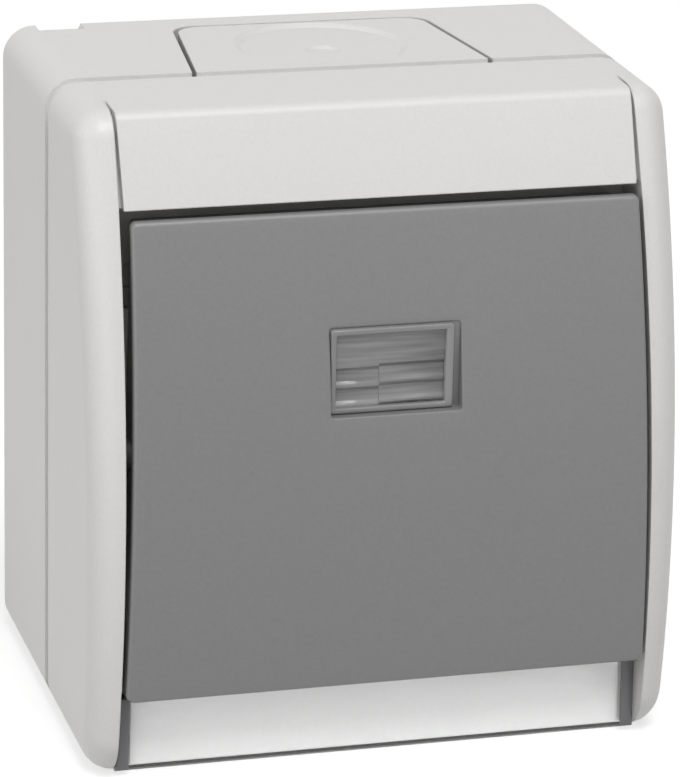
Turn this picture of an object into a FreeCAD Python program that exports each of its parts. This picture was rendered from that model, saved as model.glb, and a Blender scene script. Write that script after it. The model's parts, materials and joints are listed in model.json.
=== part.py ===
import FreeCAD, Part
import math
import os

# Surface-mounted weatherproof switch. Seen from the front: x to the right, z up, front towards -y.
# The wall face is y = 0 and the origin is its middle. Lengths are in millimetres.

# Outside of the closed switch
width = 68.0
height = 75.0
depth = 50.5
box_depth = 26.0
corner_radius = 3.6
inner_corner_radius = 1.4
wall = 2.2
rear_wall = 2.4

# Curve of the front, seen from the side
crown_below_middle = 14.0
front_arc_radius = 128.0
front_span_count = 4
top_front_radius = 3.8
bottom_front_radius = 6.0

# Neck and seam between box and cover
neck_length = 1.5
neck_step = 0.5
seam_gap = 0.25
gasket_width = 0.8
gasket_height = 1.0

# Cheeks, band and chin round the rocker
cheek_top_width = 4.35
cheek_bottom_width = 3.25
band_height = 10.0
chin_height = 9.25
band_edge_radius = 1.4
band_room_margin = 1.9
groove_top_width = 0.25
groove_bottom_width = 0.6
groove_depth = 1.1
groove_run_back = 5.5

# Well behind the rocker
well_depth = 13.3
floor_thickness = 2.2

# Rocker, modelled as it rests: top pressed in
pivot_setback = 8.5
pivot_below_middle = 1.0
rocker_stroke = 5.0
rocker_proud = 0.25
rocker_crown_below_middle = 15.1
rocker_arc_radius = 150.0
rocker_span_count = 3
rocker_top_gap = 1.0
rocker_bottom_gap = 0.9
rocker_side_gap_top = 1.1
rocker_side_gap_bottom = 0.45
rocker_skin = 2.0
rocker_edge_radius = 0.25
rocker_top_corner = 0.6
rocker_bottom_corner = 1.5
rocker_skirt_back = 2.4
trunnion_radius = 1.7
trunnion_length = 1.3
trunnion_clearance = 0.05

# Lens in the rocker
lens_width = 15.0
lens_height = 9.9
lens_above_middle = 9.2
lens_shift = 0.4
lens_gap = 0.25
lens_pry_gap = 0.65
lens_recess = 0.35
lens_frame = 0.65
lens_pane_step = 0.45
lens_frame_thickness = 0.7
lens_thickness = 3.0
lens_rib_count = 5
lens_rib_height = 0.7

# Label window and card
window_thickness = 1.3
window_side_gap = 0.2
window_flange = 1.2
window_floor = 0.5
window_setback = 3.75
window_front_radius = 0.6
window_foot_gap = 0.45
card_thickness = 0.3
card_side_margin = 1.55
card_edge_margin = 0.2

# Cable-entry plate in the top wall
entry_shift = 0.4
entry_front_width = 35.1
entry_rear_width = 29.4
entry_rear_margin = 3.95
entry_corner_radius = 3.0
entry_gap = 0.5
knockout_radius = 10.0
knockout_step = 0.45
knockout_slope = 0.7
knockout_mark_radius = 2.1
knockout_mark_slope = 0.5
knockout_mark_depth = 0.35
knockout_mark_forward = 1.2
ring_groove_width = 0.6
ring_groove_depth = 0.5

# Notch in the rear top edge
notch_left = 30.2
notch_width = 5.4
notch_depth = 1.45
notch_slope = 1.15
notch_inner_slope = 0.7
notch_length = 2.4

# Wall fixing
fixing_spacing_x = 48.0
fixing_spacing_z = 54.0
fixing_hole_radius = 2.2

# Cover screws
cover_screw_inset = 7.5
cover_screw_spacing_z = 34.0
screw_radius = 1.5
screw_head_radius = 2.7
screw_head_height = 1.6
screw_hole_clearance = 0.1
screw_head_clearance = 0.3
screw_slot_width = 0.7
screw_slot_depth = 0.7
boss_radius = 2.8
boss_top_gap = 0.2
screw_head_sink = 3.3
screw_pocket_wall = 1.1
screw_seal_thickness = 1.0
screw_seal_width = 0.9
bore_run_out = 1.0
cover_screw_grip = 12.0

# Membrane and retainer behind the well floor
opening_half_width = 9.5
opening_below_pivot = 8.0
opening_above_lens = 5.7
opening_corner_radius = 3.0
membrane_margin = 3.0
membrane_thickness = 1.2
membrane_lip = 1.0
membrane_collar_height = 2.6
retainer_thickness = 1.6
retainer_opening_margin = 0.5
stake_radius = 0.9
stake_clearance = 0.1
dome_inner_radius = 2.8
dome_wall = 0.8
dome_height = 3.4

# Actuator, plunger and spring: plate and bore from the pivot, the rest from the lever
neck_half_width = 3.5
neck_lever_gap = 6.3
actuator_plate_front = 4.8
actuator_plate_thickness = 1.6
actuator_plate_half_width = 9.0
actuator_plate_half_height = 4.5
neck_clearance = 0.75
post_radius = 1.5
post_margin = 1.8
plunger_radius = 1.9
plunger_clearance = 0.1
plunger_bore_start = 1.0
plunger_sunk = 6.5
plunger_shoulder_reach = 2.3
plunger_tip_radius = 1.2
plunger_nose_radius = 0.6
plunger_nose_length = 0.4
plunger_lever_gap = 0.3
spring_wire = 0.5
spring_pitch = 1.6
spring_side_count = 8

# Contact lever
lever_thickness = 1.2
lever_half_length = 8.0
lever_half_width = 2.8
lever_end_radius = 1.7
lever_tilt = 7.5
lever_rivet_reach = 6.5
rivet_radius = 1.3
rivet_thickness = 0.7
lever_support_gap = 0.3
contact_gap = 0.4

# Switch mechanism
mechanism_side_gap = 3.7
mechanism_half_height = 20.0
mechanism_front_gap = 7.5
standoff_share = 0.434
floor_room_share = 0.1775
mechanism_wall = 1.5
lid_thickness = 1.5
chamber_half_width = 7.2
chamber_end_margin = 4.5
lid_screw_margin = 2.25
lid_screw_radius = 1.05
lid_screw_head_radius = 1.9
lid_screw_head_height = 0.8
lid_screw_length = 6.0
strip_thickness = 1.0
strip_width = 3.0
clamp_width = 6.0
clamp_height = 7.0
clamp_depth = 7.6
clamp_wall = 1.2
terminal_screw_radius = 1.4
terminal_screw_head_radius = 2.2
terminal_screw_length = 5.2
wire_hole_half = 1.5
part_clearance = 0.2
ear_length = 6.0
ear_half_height = 3.2
ear_thickness = 3.0

# Lamp
lamp_holder_thickness = 3.0
lamp_holder_half_width = 3.2
lamp_radius = 1.9
lamp_length = 5.8
lamp_dome_count = 3
lamp_pin_radius = 0.45
lamp_pin_reach = 6.0
pin_margin = 1.4

# Sides of the small round pieces hidden inside and steps in the rounded corners there
small_side_count = 10
corner_step_count = 2
ring_side_count = 20

# Levels and places worked out from the sizes above
far = 200.0
close = 1e-6
half_width = width / 2
half_height = height / 2
seam_y = -box_depth
box_front_y = seam_y + seam_gap / 2
cover_back_y = seam_y - seam_gap / 2
floor_y = -(depth - well_depth)
floor_back_y = floor_y + floor_thickness
well_top = half_height - band_height
well_bottom = -half_height + chin_height
pivot_y = -(depth - pivot_setback)
pivot_z = -pivot_below_middle
lens_z = lens_above_middle
rest_tilt = -rocker_stroke / 2
opening_low = pivot_z - opening_below_pivot
opening_high = lens_z + opening_above_lens
cover_screw_x = half_width - cover_screw_inset
cover_screw_z = cover_screw_spacing_z / 2
seat_y = floor_y + screw_head_sink
boss_top_y = seat_y + floor_thickness + boss_top_gap
lid_front_y = floor_back_y + mechanism_front_gap
mechanism_front_y = lid_front_y + lid_thickness
spare_depth = -mechanism_front_y - screw_head_height - clamp_depth - mechanism_wall - rear_wall
mechanism_back_y = -rear_wall - standoff_share * spare_depth
clamp_back_y = mechanism_back_y - mechanism_wall - floor_room_share * spare_depth
clamp_front_y = clamp_back_y - clamp_depth
strip_back_y = clamp_back_y - clamp_wall - part_clearance
strip_front_y = strip_back_y - strip_thickness
fixed_rivet_y = strip_front_y - rivet_thickness
lever_rad = math.radians(lever_tilt)
lever_pivot_y = (fixed_rivet_y - contact_gap - (lever_rivet_reach + rivet_radius) * math.sin(lever_rad)
                 - rivet_thickness * math.cos(lever_rad))
neck_end_y = lever_pivot_y - lever_thickness - neck_lever_gap
plunger_start_y = neck_end_y - plunger_sunk
plunger_shoulder_y = neck_end_y + plunger_shoulder_reach
bore_start_y = pivot_y + plunger_bore_start
mechanism_half_width = cover_screw_x - boss_radius - mechanism_side_gap
terminal_reach = mechanism_half_width - mechanism_wall - part_clearance - clamp_width / 2
window_front_y = -(depth - window_setback)
window_back_y = window_front_y + window_thickness
chin_y = window_back_y + card_thickness
ear_x = mechanism_half_width + ear_length / 2


def vec(x, y, z):
    return FreeCAD.Vector(x, y, z)


def block(x0, x1, y0, y1, z0, z1):
    """Box between two corners, given in any order."""
    low = vec(min(x0, x1), min(y0, y1), min(z0, z1))
    return Part.makeBox(abs(x1 - x0), abs(y1 - y0), abs(z1 - z0), low)


def rod(radius, x, z, y0, y1):
    """Cylinder along y between two depths."""
    return Part.makeCylinder(radius, abs(y1 - y0), vec(x, min(y0, y1), z), vec(0, 1, 0))


def ring_outline(radius, y):
    """Many-sided outline round the y axis at a depth."""
    turn = 2 * math.pi / small_side_count
    corners = [vec(radius * math.cos(index * turn), y, radius * math.sin(index * turn))
               for index in range(small_side_count)]
    return Part.makePolygon(corners + corners[:1])


def small_rod(radius, x, z, y0, y1):
    """Many-sided rod along y, for small round pieces and their holes."""
    prism = Part.Face(ring_outline(radius, min(y0, y1))).extrude(vec(0, abs(y1 - y0), 0))
    prism.translate(vec(x, 0, z))
    return prism


def slab(points, y0, y1):
    """Plan outline in x and z, carried along y."""
    loop = Part.makePolygon([vec(x, y0, z) for x, z in points + points[:1]])
    return Part.Face(loop).extrude(vec(0, y1 - y0, 0))


def side_prism(points, x0, x1):
    """Side outline in y and z, carried along x."""
    loop = Part.makePolygon([vec(x0, y, z) for y, z in points + points[:1]])
    return Part.Face(loop).extrude(vec(x1 - x0, 0, 0))


def round_y_edges(shape, radius):
    """Rounds every straight edge that runs along y."""
    edges = []
    for edge in shape.Edges:
        start = edge.Vertexes[0].Point
        end = edge.Vertexes[-1].Point
        if abs(start.x - end.x) < close and abs(start.z - end.z) < close and abs(start.y - end.y) > close:
            edges.append(edge)
    return shape.makeFillet(radius, edges)


def plate(x0, x1, z0, z1, y0, y1, radius):
    """Flat plate across y with rounded corners."""
    return round_y_edges(block(x0, x1, y0, y1, z0, z1), radius)


def stepped_corner(x, z, radius, quarter):
    """Points of a corner rounded in a few steps. Quarters run from upper right through upper left."""
    turn = (quarter + 0.5) * math.pi / 2
    centre_x = x - math.copysign(radius, math.cos(turn))
    centre_z = z - math.copysign(radius, math.sin(turn))
    angles = [(quarter + step / corner_step_count) * math.pi / 2 for step in range(corner_step_count + 1)]
    return [(centre_x + radius * math.cos(angle), centre_z + radius * math.sin(angle)) for angle in angles]


def stepped_plate(x0, x1, z0, z1, y0, y1, radius):
    """Flat plate across y for hidden pieces, its corners rounded in a few steps."""
    outline = []
    for quarter, (x, z) in enumerate(((x1, z1), (x0, z1), (x0, z0), (x1, z0))):
        outline += stepped_corner(x, z, radius, quarter)
    return slab(outline, min(y0, y1), max(y0, y1))


def shell_block(inset, y0, y1):
    """Housing outline shrunk by an inset, between two depths."""
    radius = max(corner_radius - inset, inner_corner_radius)
    return plate(-half_width + inset, half_width - inset,
                 -half_height + inset, half_height - inset, y0, y1, radius)


def about_pivot(shape, degrees):
    """Turns a shape of the rocker about its pivot axis."""
    turned = shape.copy()
    turned.rotate(vec(0, pivot_y, pivot_z), vec(1, 0, 0), degrees)
    return turned


def about_lever_pivot(shape, degrees):
    """Turns a shape of the contact lever about its own pivot axis."""
    turned = shape.copy()
    turned.rotate(vec(0, lever_pivot_y, pivot_z), vec(1, 0, 0), degrees)
    return turned


def arc_y(z, radius, crown_z, crown_y):
    """Depth of a front arc at height z."""
    return crown_y + radius - math.sqrt(radius ** 2 - (z - crown_z) ** 2)


def well_half(z):
    """Half the width between the cheeks, which widens towards the bottom."""
    share = (half_height - z) / height
    return half_width - cheek_top_width - share * (cheek_bottom_width - cheek_top_width)


def rocker_half(z):
    """Half the width of the rocker at height z."""
    share = (well_top - z) / (well_top - well_bottom)
    gap = rocker_side_gap_top + share * (rocker_side_gap_bottom - rocker_side_gap_top)
    return well_half(z) - gap


def corner_arc(line_z, radius, big_radius, big_y, big_z):
    """Circle inside a big arc that touches a level line: its centre, its point on the line and on the arc."""
    centre_z = line_z - math.copysign(radius, line_z)
    reach = big_radius - radius
    centre_y = big_y - math.sqrt(reach ** 2 - (centre_z - big_z) ** 2)
    scale = big_radius / reach
    on_arc = (big_y + (centre_y - big_y) * scale, big_z + (centre_z - big_z) * scale)
    return (centre_y, centre_z), (centre_y, line_z), on_arc


def arc_edges(x, start, end, centre, radius, spans=1):
    """Arc about a centre from start to end in the plane at x, drawn in equal spans."""
    first = math.atan2(start[1] - centre[1], start[0] - centre[0])
    last = math.atan2(end[1] - centre[1], end[0] - centre[0])
    sweep = (last - first + math.pi) % (2 * math.pi) - math.pi

    def on_arc(share):
        angle = first + sweep * share
        return vec(x, centre[0] + radius * math.cos(angle), centre[1] + radius * math.sin(angle))

    return [Part.Arc(on_arc(i / spans), on_arc((i + 0.5) / spans), on_arc((i + 1) / spans)).toShape()
            for i in range(spans)]


def front_profile(x0, x1, top_radius, back_y):
    """Side outline of the cover: flat bottom and top, rounded into one long front arc."""
    big_y = front_arc_radius - depth
    big_z = -crown_below_middle
    low_centre, low_start, low_end = corner_arc(-half_height, bottom_front_radius,
                                                front_arc_radius, big_y, big_z)
    top_centre, top_end, top_start = corner_arc(half_height, top_radius,
                                                front_arc_radius, big_y, big_z)
    edges = [Part.makeLine(vec(x0, back_y, -half_height), vec(x0, *low_start))]
    edges += arc_edges(x0, low_start, low_end, low_centre, bottom_front_radius)
    edges += arc_edges(x0, low_end, top_start, (big_y, big_z), front_arc_radius, front_span_count)
    edges += arc_edges(x0, top_start, top_end, top_centre, top_radius)
    edges.append(Part.makeLine(vec(x0, *top_end), vec(x0, back_y, half_height)))
    edges.append(Part.makeLine(vec(x0, back_y, half_height), vec(x0, back_y, -half_height)))
    return Part.Face(Part.Wire(edges)).extrude(vec(x1 - x0, 0, 0))


def cover_outside():
    """Cheek form, rounded all along its side edges, with the band's crisper top edge between."""
    body = front_profile(-half_width, half_width, top_front_radius, cover_back_y)
    side_edges = []
    for edge in body.Edges:
        at_side = all(abs(abs(point.Point.x) - half_width) < close for point in edge.Vertexes)
        runs_across = abs(edge.Vertexes[0].Point.x - edge.Vertexes[-1].Point.x) > close
        at_back = all(abs(point.Point.y - cover_back_y) < close for point in edge.Vertexes)
        if at_side and not runs_across and not at_back:
            side_edges.append(edge)
    body = body.makeFillet(corner_radius, side_edges)
    band_half = well_half(half_height) - groove_top_width
    band = front_profile(-band_half, band_half, band_edge_radius, cover_back_y)
    band = band.common(block(-far, far, -far, cover_back_y, well_top, far))
    return body.fuse(band)


def well_cutter():
    """Opening for the rocker, a little wider at the bottom."""
    top_half = well_half(well_top)
    bottom_half = well_half(well_bottom)
    outline = [(-bottom_half, well_bottom), (bottom_half, well_bottom),
               (top_half, well_top), (-top_half, well_top)]
    return slab(outline, -far, floor_y)


def chin_cutter():
    """Seat of the label window and its card between the cheeks."""
    low = -half_height - wall
    shelf_z = -half_height + window_foot_gap + window_floor
    high_half = well_half(well_bottom)
    low_half = well_half(low)
    high = well_bottom + wall
    outline = [(-low_half, low), (low_half, low), (high_half, high), (-high_half, high)]
    front = slab(outline, -far, chin_y)
    shelf = block(-low_half, low_half, chin_y + bottom_front_radius, -far, -far, shelf_z)
    return front.fuse(shelf)


def groove_cutter(side):
    """Groove between cheek and band, which narrows upwards and fades out on the top face."""
    outer_low = well_half(well_top)
    outer_top = well_half(half_height)
    inner_low = outer_low - groove_bottom_width
    inner_top = outer_top - groove_top_width
    low = well_top - wall
    high = half_height + wall
    outline = [(side * inner_low, low), (side * outer_low, low),
               (side * outer_top, high), (side * inner_top, high)]
    strip = slab(outline, -far, cover_back_y)
    top_y = arc_y(half_height, front_arc_radius, -crown_below_middle, -depth)
    low_y = arc_y(low, front_arc_radius, -crown_below_middle, -depth)
    fade_y = top_y + groove_run_back
    keep = side_prism([(fade_y, high), (fade_y, half_height),
                       (top_y + groove_depth, half_height - groove_depth),
                       (low_y + groove_depth, low), (-far, low), (-far, high)], -far, far)
    return strip.common(keep)


def cover_cavity():
    """Hollow behind the well floor, the band and the chin."""
    hollow = shell_block(wall, cover_back_y + wall, floor_back_y)
    band_top_y = arc_y(half_height - wall, front_arc_radius, -crown_below_middle, -depth)
    band_front = band_top_y + wall + band_room_margin
    band_room = block(-well_half(half_height) + wall, well_half(half_height) - wall,
                      floor_back_y, band_front, well_top + wall, half_height - wall)
    chin_room = block(-well_half(well_bottom) + wall, well_half(well_bottom) - wall,
                      floor_back_y, chin_y + wall, well_bottom - wall,
                      -half_height + window_foot_gap + window_floor + wall)
    return hollow.fuse(band_room).fuse(chin_room)


def cover_screw_places():
    return [(sx * cover_screw_x, sz * cover_screw_z) for sx in (-1, 1) for sz in (-1, 1)]


def stake_places():
    """Pins that hold membrane and retainer, in the corners of their margin."""
    x = opening_half_width + membrane_margin / 2
    return [(sx * x, z) for sx in (-1, 1) for z in (opening_low + opening_corner_radius,
                                                    opening_high - opening_corner_radius)]


def trunnion_bores():
    depth_x = trunnion_length + rocker_side_gap_top + trunnion_clearance
    start = well_half(pivot_z) - wall
    bores = Part.makeCylinder(trunnion_radius + trunnion_clearance, 2 * (start + wall + depth_x),
                              vec(-start - wall - depth_x, pivot_y, pivot_z), vec(1, 0, 0))
    return bores


def front_cover():
    """One moulding: two cheeks, top band, well for the rocker and seat of the label window."""
    cover = cover_outside()
    cover = cover.cut(well_cutter())
    cover = cover.cut(chin_cutter())
    for side in (-1, 1):
        cover = cover.cut(groove_cutter(side))
    cover = cover.cut(cover_cavity())
    for x, z in cover_screw_places():
        cover = cover.fuse(small_rod(boss_radius + screw_pocket_wall, x, z,
                                     floor_back_y - wall / 2, seat_y + floor_thickness))
        cover = cover.cut(small_rod(screw_head_radius + screw_head_clearance, x, z, floor_y - wall, seat_y))
        cover = cover.cut(small_rod(screw_radius + screw_hole_clearance, x, z, floor_y - wall, 0))
    cover = cover.cut(stepped_plate(-opening_half_width, opening_half_width, opening_low, opening_high,
                                    floor_y - wall, floor_back_y + wall, opening_corner_radius))
    for x, z in stake_places():
        tip = floor_back_y + membrane_thickness + retainer_thickness + stake_radius / 2
        cover = cover.fuse(small_rod(stake_radius, x, z, floor_back_y - wall / 2, tip))
    gasket_mid = neck_step + (wall - neck_step) / 2
    cover = cover.cut(gasket_ring(gasket_mid, cover_back_y - gasket_height, cover_back_y + wall))
    return cover.cut(trunnion_bores())


def gasket_ring(mid_inset, y0, y1):
    """Frame of seal material, centred on an inset from the housing outline."""
    outer = shell_block(mid_inset - gasket_width / 2, y0, y1)
    return outer.cut(shell_block(mid_inset + gasket_width / 2, y0 - wall, y1 + wall))


def rim_gasket():
    gasket_mid = neck_step + (wall - neck_step) / 2
    return gasket_ring(gasket_mid, cover_back_y - gasket_height, box_front_y)


def entry_outline(gap):
    """Outline of the cable-entry plate in x and y, grown by a gap."""
    rear_y = -entry_rear_margin + gap
    front_half = entry_front_width / 2 + gap
    rear_half = entry_rear_width / 2 + gap
    points = [(-front_half, seam_y - wall), (front_half, seam_y - wall),
              (rear_half, rear_y), (-rear_half, rear_y)]
    low = half_height - wall - neck_step
    loop = Part.makePolygon([vec(entry_shift + x, y, low) for x, y in points + points[:1]])
    prism = Part.Face(loop).extrude(vec(0, 0, 2 * wall + neck_step))
    rear_edges = []
    for edge in prism.Edges:
        start = edge.Vertexes[0].Point
        end = edge.Vertexes[-1].Point
        if abs(start.z - end.z) > wall and abs(start.y - rear_y) < close:
            rear_edges.append(edge)
    return prism.makeFillet(entry_corner_radius, rear_edges)


def box_shell():
    """Open tray with a narrower neck at its front rim."""
    shell = shell_block(0, 0, box_front_y + neck_length)
    shell = shell.fuse(shell_block(neck_step, -rear_wall, box_front_y))
    return shell.cut(shell_block(wall, -rear_wall, box_front_y - wall))


def ring_prism(radius):
    """Many-sided prism round the y axis, half in front of the wall face and half behind."""
    turn = 2 * math.pi / ring_side_count
    outline = [(radius * math.cos(index * turn), radius * math.sin(index * turn))
               for index in range(ring_side_count)]
    return slab(outline, -ring_groove_depth, ring_groove_depth)


def ring_cut(radius):
    """Ring groove cutter of a closed knock-out, in place for the rear wall."""
    return ring_prism(radius).cut(ring_prism(radius - ring_groove_width))


def notch_cutter():
    """Small relief in the rear top edge, slanted on its outer side."""
    left = -notch_left
    right = left + notch_width
    outline = [(left - notch_slope, half_height + notch_depth), (left, half_height),
               (left + notch_slope, half_height - notch_depth),
               (right - notch_inner_slope, half_height - notch_depth), (right, half_height),
               (right, half_height + notch_depth)]
    return slab(outline, notch_length, -notch_length)


def back_box():
    """Tray that stands on the wall, with bosses for the cover and the mechanism."""
    box = box_shell().cut(entry_outline(entry_gap))
    for x, z in cover_screw_places():
        box = box.fuse(small_rod(boss_radius, x, z, -rear_wall / 2, boss_top_y))
        bore_end = boss_top_y + cover_screw_grip + bore_run_out
        box = box.cut(small_rod(screw_radius, x, z, bore_end, boss_top_y - wall))
    for side in (-1, 1):
        box = box.fuse(small_rod(boss_radius, side * ear_x, pivot_z, -rear_wall / 2, mechanism_back_y))
        box = box.cut(small_rod(screw_radius, side * ear_x, pivot_z, -rear_wall, mechanism_back_y - wall))
    for sx in (-1, 1):
        for sz in (-1, 1):
            box = box.cut(rod(fixing_hole_radius, sx * fixing_spacing_x / 2, sz * fixing_spacing_z / 2,
                              wall, -2 * rear_wall))
    bottom_ring = ring_cut(knockout_radius)
    bottom_ring.rotate(vec(0, 0, 0), vec(1, 0, 0), 90)
    bottom_ring.translate(vec(0, -box_depth / 2, -half_height))
    return box.cut(ring_cut(knockout_radius)).cut(bottom_ring).cut(notch_cutter())


def cable_entry_plate():
    """Part of the top wall that slides in from the front, with a stepped round knock-out."""
    panel = box_shell().common(entry_outline(0))
    middle_y = -(box_depth - neck_length + entry_rear_margin) / 2
    dish_z = half_height - knockout_step
    panel = panel.cut(Part.makeCone(knockout_radius - knockout_slope, knockout_radius + knockout_slope,
                                    2 * knockout_step, vec(entry_shift, middle_y, dish_z), vec(0, 0, 1)))
    mark_floor = vec(entry_shift, middle_y - knockout_mark_forward, dish_z - knockout_mark_depth)
    return panel.cut(Part.makeCone(knockout_mark_radius - knockout_mark_slope,
                                   knockout_mark_radius + knockout_mark_slope,
                                   2 * knockout_mark_depth, mark_floor, vec(0, 0, 1)))


def slotted_screw(x, z, head_y, radius, head_radius, head_height, length):
    """Screw along y: head towards the front with a cross slot, plain shank."""
    under = head_y + head_height
    screw = small_rod(head_radius, x, z, head_y, under).fuse(small_rod(radius, x, z, under, under + length))
    half_slot = screw_slot_width / 2
    reach = head_radius - screw_slot_width
    floor = head_y + screw_slot_depth
    front = head_y - head_height
    screw = screw.cut(block(x - reach, x + reach, front, floor, z - half_slot, z + half_slot))
    return screw.cut(block(x - half_slot, x + half_slot, front, floor, z - reach, z + reach))


def group(shapes):
    return Part.makeCompound(shapes)


def cover_screws():
    head_y = seat_y - screw_seal_thickness - screw_head_height
    length = screw_seal_thickness + (boss_top_y - seat_y) + cover_screw_grip
    return group([slotted_screw(x, z, head_y, screw_radius - screw_hole_clearance / 2, screw_head_radius,
                                screw_head_height, length) for x, z in cover_screw_places()])


def screw_seals():
    """Flat seal rings under the heads of the cover screws."""
    inner = screw_radius + screw_hole_clearance
    rings = []
    for x, z in cover_screw_places():
        ring = small_rod(inner + screw_seal_width, x, z, seat_y - screw_seal_thickness, seat_y)
        rings.append(ring.cut(small_rod(inner, x, z, seat_y - screw_seal_thickness, seat_y)))
    return group(rings)


def rocker_seal():
    """Rubber membrane with a collar for the actuator's neck and a dome over the lamp."""
    back = floor_back_y + membrane_thickness
    sheet = stepped_plate(-opening_half_width - membrane_margin, opening_half_width + membrane_margin,
                          opening_low - membrane_margin, opening_high + membrane_margin,
                          floor_back_y, back, opening_corner_radius)
    hole_half = neck_half_width + neck_clearance
    collar_half = hole_half + membrane_lip
    collar = stepped_plate(-collar_half, collar_half, pivot_z - collar_half, pivot_z + collar_half,
                           floor_back_y - membrane_collar_height, back, membrane_lip)
    dome = small_rod(dome_inner_radius + dome_wall, 0, lens_z, floor_back_y - dome_height, back)
    sheet = sheet.fuse(collar).fuse(dome)
    sheet = sheet.cut(block(-hole_half, hole_half, -far, 0, pivot_z - hole_half, pivot_z + hole_half))
    dome_front = floor_back_y - dome_height + dome_wall
    sheet = sheet.cut(small_rod(dome_inner_radius, 0, lens_z, dome_front, back + wall))
    for x, z in stake_places():
        sheet = sheet.cut(small_rod(stake_radius + stake_clearance, x, z, floor_back_y - wall, back + wall))
    return sheet


def seal_retainer():
    """Frame that presses the membrane against the well floor."""
    front = floor_back_y + membrane_thickness
    back = front + retainer_thickness
    frame = stepped_plate(-opening_half_width - membrane_margin, opening_half_width + membrane_margin,
                          opening_low - membrane_margin, opening_high + membrane_margin,
                          front, back, opening_corner_radius)
    inner = opening_half_width - retainer_opening_margin
    frame = frame.cut(stepped_plate(-inner, inner, opening_low + retainer_opening_margin,
                                    opening_high - retainer_opening_margin,
                                    front - wall, back + wall, opening_corner_radius))
    for x, z in stake_places():
        frame = frame.cut(small_rod(stake_radius + stake_clearance, x, z, front - wall, back + wall))
    return frame


def window_outline(gap, low, high):
    """Label area between the cheeks, in x and z."""
    low_half = well_half(low) - gap
    high_half = well_half(high) - gap
    return [(-low_half, low), (low_half, low), (high_half, high), (-high_half, high)]


def label_window():
    """Clear strip with a bottom flange that wraps round the chin."""
    foot = -half_height + window_foot_gap
    front = slab(window_outline(window_side_gap, foot, well_bottom), window_front_y, window_back_y)
    end_flanges = slab(window_outline(window_side_gap, foot, well_bottom), window_back_y, chin_y)
    inner = slab(window_outline(window_side_gap + window_flange, foot + window_floor, well_bottom + wall),
                 window_back_y, chin_y)
    floor_back = chin_y + bottom_front_radius - part_clearance
    bottom = block(-well_half(foot) + window_side_gap, well_half(foot) - window_side_gap, chin_y, floor_back,
                   foot, foot + window_floor - part_clearance / 2)
    strip = front.fuse(end_flanges.cut(inner)).fuse(bottom).removeSplitter()
    edges = []
    for edge in strip.Edges:
        if all(abs(point.Point.y - window_front_y) < close and abs(point.Point.z - foot) < close
               for point in edge.Vertexes):
            edges.append(edge)
    return strip.makeFillet(window_front_radius, edges)


def label_card():
    low = -half_height + window_foot_gap + window_floor + card_edge_margin
    high = well_bottom - card_edge_margin
    return slab(window_outline(card_side_margin, low, high), window_back_y, chin_y)


def rocker_front_face(offset, x):
    """Side outline of the rocker, shrunk by an offset, as edges in the plane at x."""
    crown_y = -(depth + rocker_proud) + offset
    crown_z = -rocker_crown_below_middle
    radius = rocker_arc_radius - offset
    top = well_top - rocker_top_gap - offset
    bottom = well_bottom + rocker_bottom_gap + offset
    top_y = arc_y(top, radius, crown_z, crown_y)
    bottom_y = arc_y(bottom, radius, crown_z, crown_y)
    slope = math.sin(math.radians(rest_tilt))
    back_y = pivot_y + rocker_skirt_back + (rocker_skin if offset > 0 else 0)
    top_back = back_y - (top - pivot_z) * slope
    bottom_back = back_y - (bottom - pivot_z) * slope
    centre = (crown_y + radius, crown_z)
    edges = arc_edges(x, (bottom_y, bottom), (top_y, top), centre, radius, rocker_span_count)
    edges.append(Part.makeLine(vec(x, top_y, top), vec(x, top_back, top)))
    edges.append(Part.makeLine(vec(x, top_back, top), vec(x, bottom_back, bottom)))
    edges.append(Part.makeLine(vec(x, bottom_back, bottom), vec(x, bottom_y, bottom)))
    return Part.Face(Part.Wire(edges)).extrude(vec(-2 * x, 0, 0))


def rocker_side_trim(offset):
    """Front outline of the rocker, shrunk by an offset: wider at the bottom, with rounder corners there."""
    top = well_top - rocker_top_gap - offset
    bottom = well_bottom + rocker_bottom_gap + offset
    top_half = rocker_half(top) - offset
    bottom_half = rocker_half(bottom) - offset
    top_corner = max(rocker_top_corner - offset, rocker_edge_radius)
    bottom_corner = max(rocker_bottom_corner - offset, rocker_edge_radius)
    outline = (stepped_corner(top_half, top, top_corner, 0) + stepped_corner(-top_half, top, top_corner, 1)
               + stepped_corner(-bottom_half, bottom, bottom_corner, 2)
               + stepped_corner(bottom_half, bottom, bottom_corner, 3))
    return slab(outline, -far, 0)


def rocker_blank(offset):
    return rocker_front_face(offset, -half_width).common(rocker_side_trim(offset))


def level_front_edges(shape):
    """Top and bottom edges of the rocker's front, the ones that run along x."""
    limit = pivot_y - rocker_skirt_back
    edges = []
    for edge in shape.Edges:
        start = edge.Vertexes[0].Point
        end = edge.Vertexes[-1].Point
        level = abs(start.y - end.y) < close and abs(start.z - end.z) < close
        at_end = min(abs(start.z - well_top + rocker_top_gap),
                     abs(start.z - well_bottom - rocker_bottom_gap)) < close
        if level and at_end and start.y < limit and abs(start.x - end.x) > wall:
            edges.append(edge)
    return edges


def lens_pocket():
    """Opening for the lens: a stepped rectangle through the rocker's skin."""
    front_y = arc_y(lens_z, rocker_arc_radius, -rocker_crown_below_middle, -(depth + rocker_proud))
    half_x = lens_width / 2
    half_z = lens_height / 2
    seat = front_y + lens_recess + lens_frame_thickness
    full = block(lens_shift - half_x, lens_shift + half_x, -far, seat, lens_z - half_z, lens_z + half_z)
    inner_x = half_x - lens_frame
    inner_z = half_z - lens_frame
    through = block(lens_shift - inner_x, lens_shift + inner_x, -far,
                    front_y + lens_thickness + rocker_skin, lens_z - inner_z, lens_z + inner_z)
    return full.fuse(through)


def post_places():
    x = actuator_plate_half_width - post_margin
    z = actuator_plate_half_height - post_margin
    return [(sx * x, pivot_z + sz * z) for sx in (-1, 1) for sz in (-1, 1)]


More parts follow.
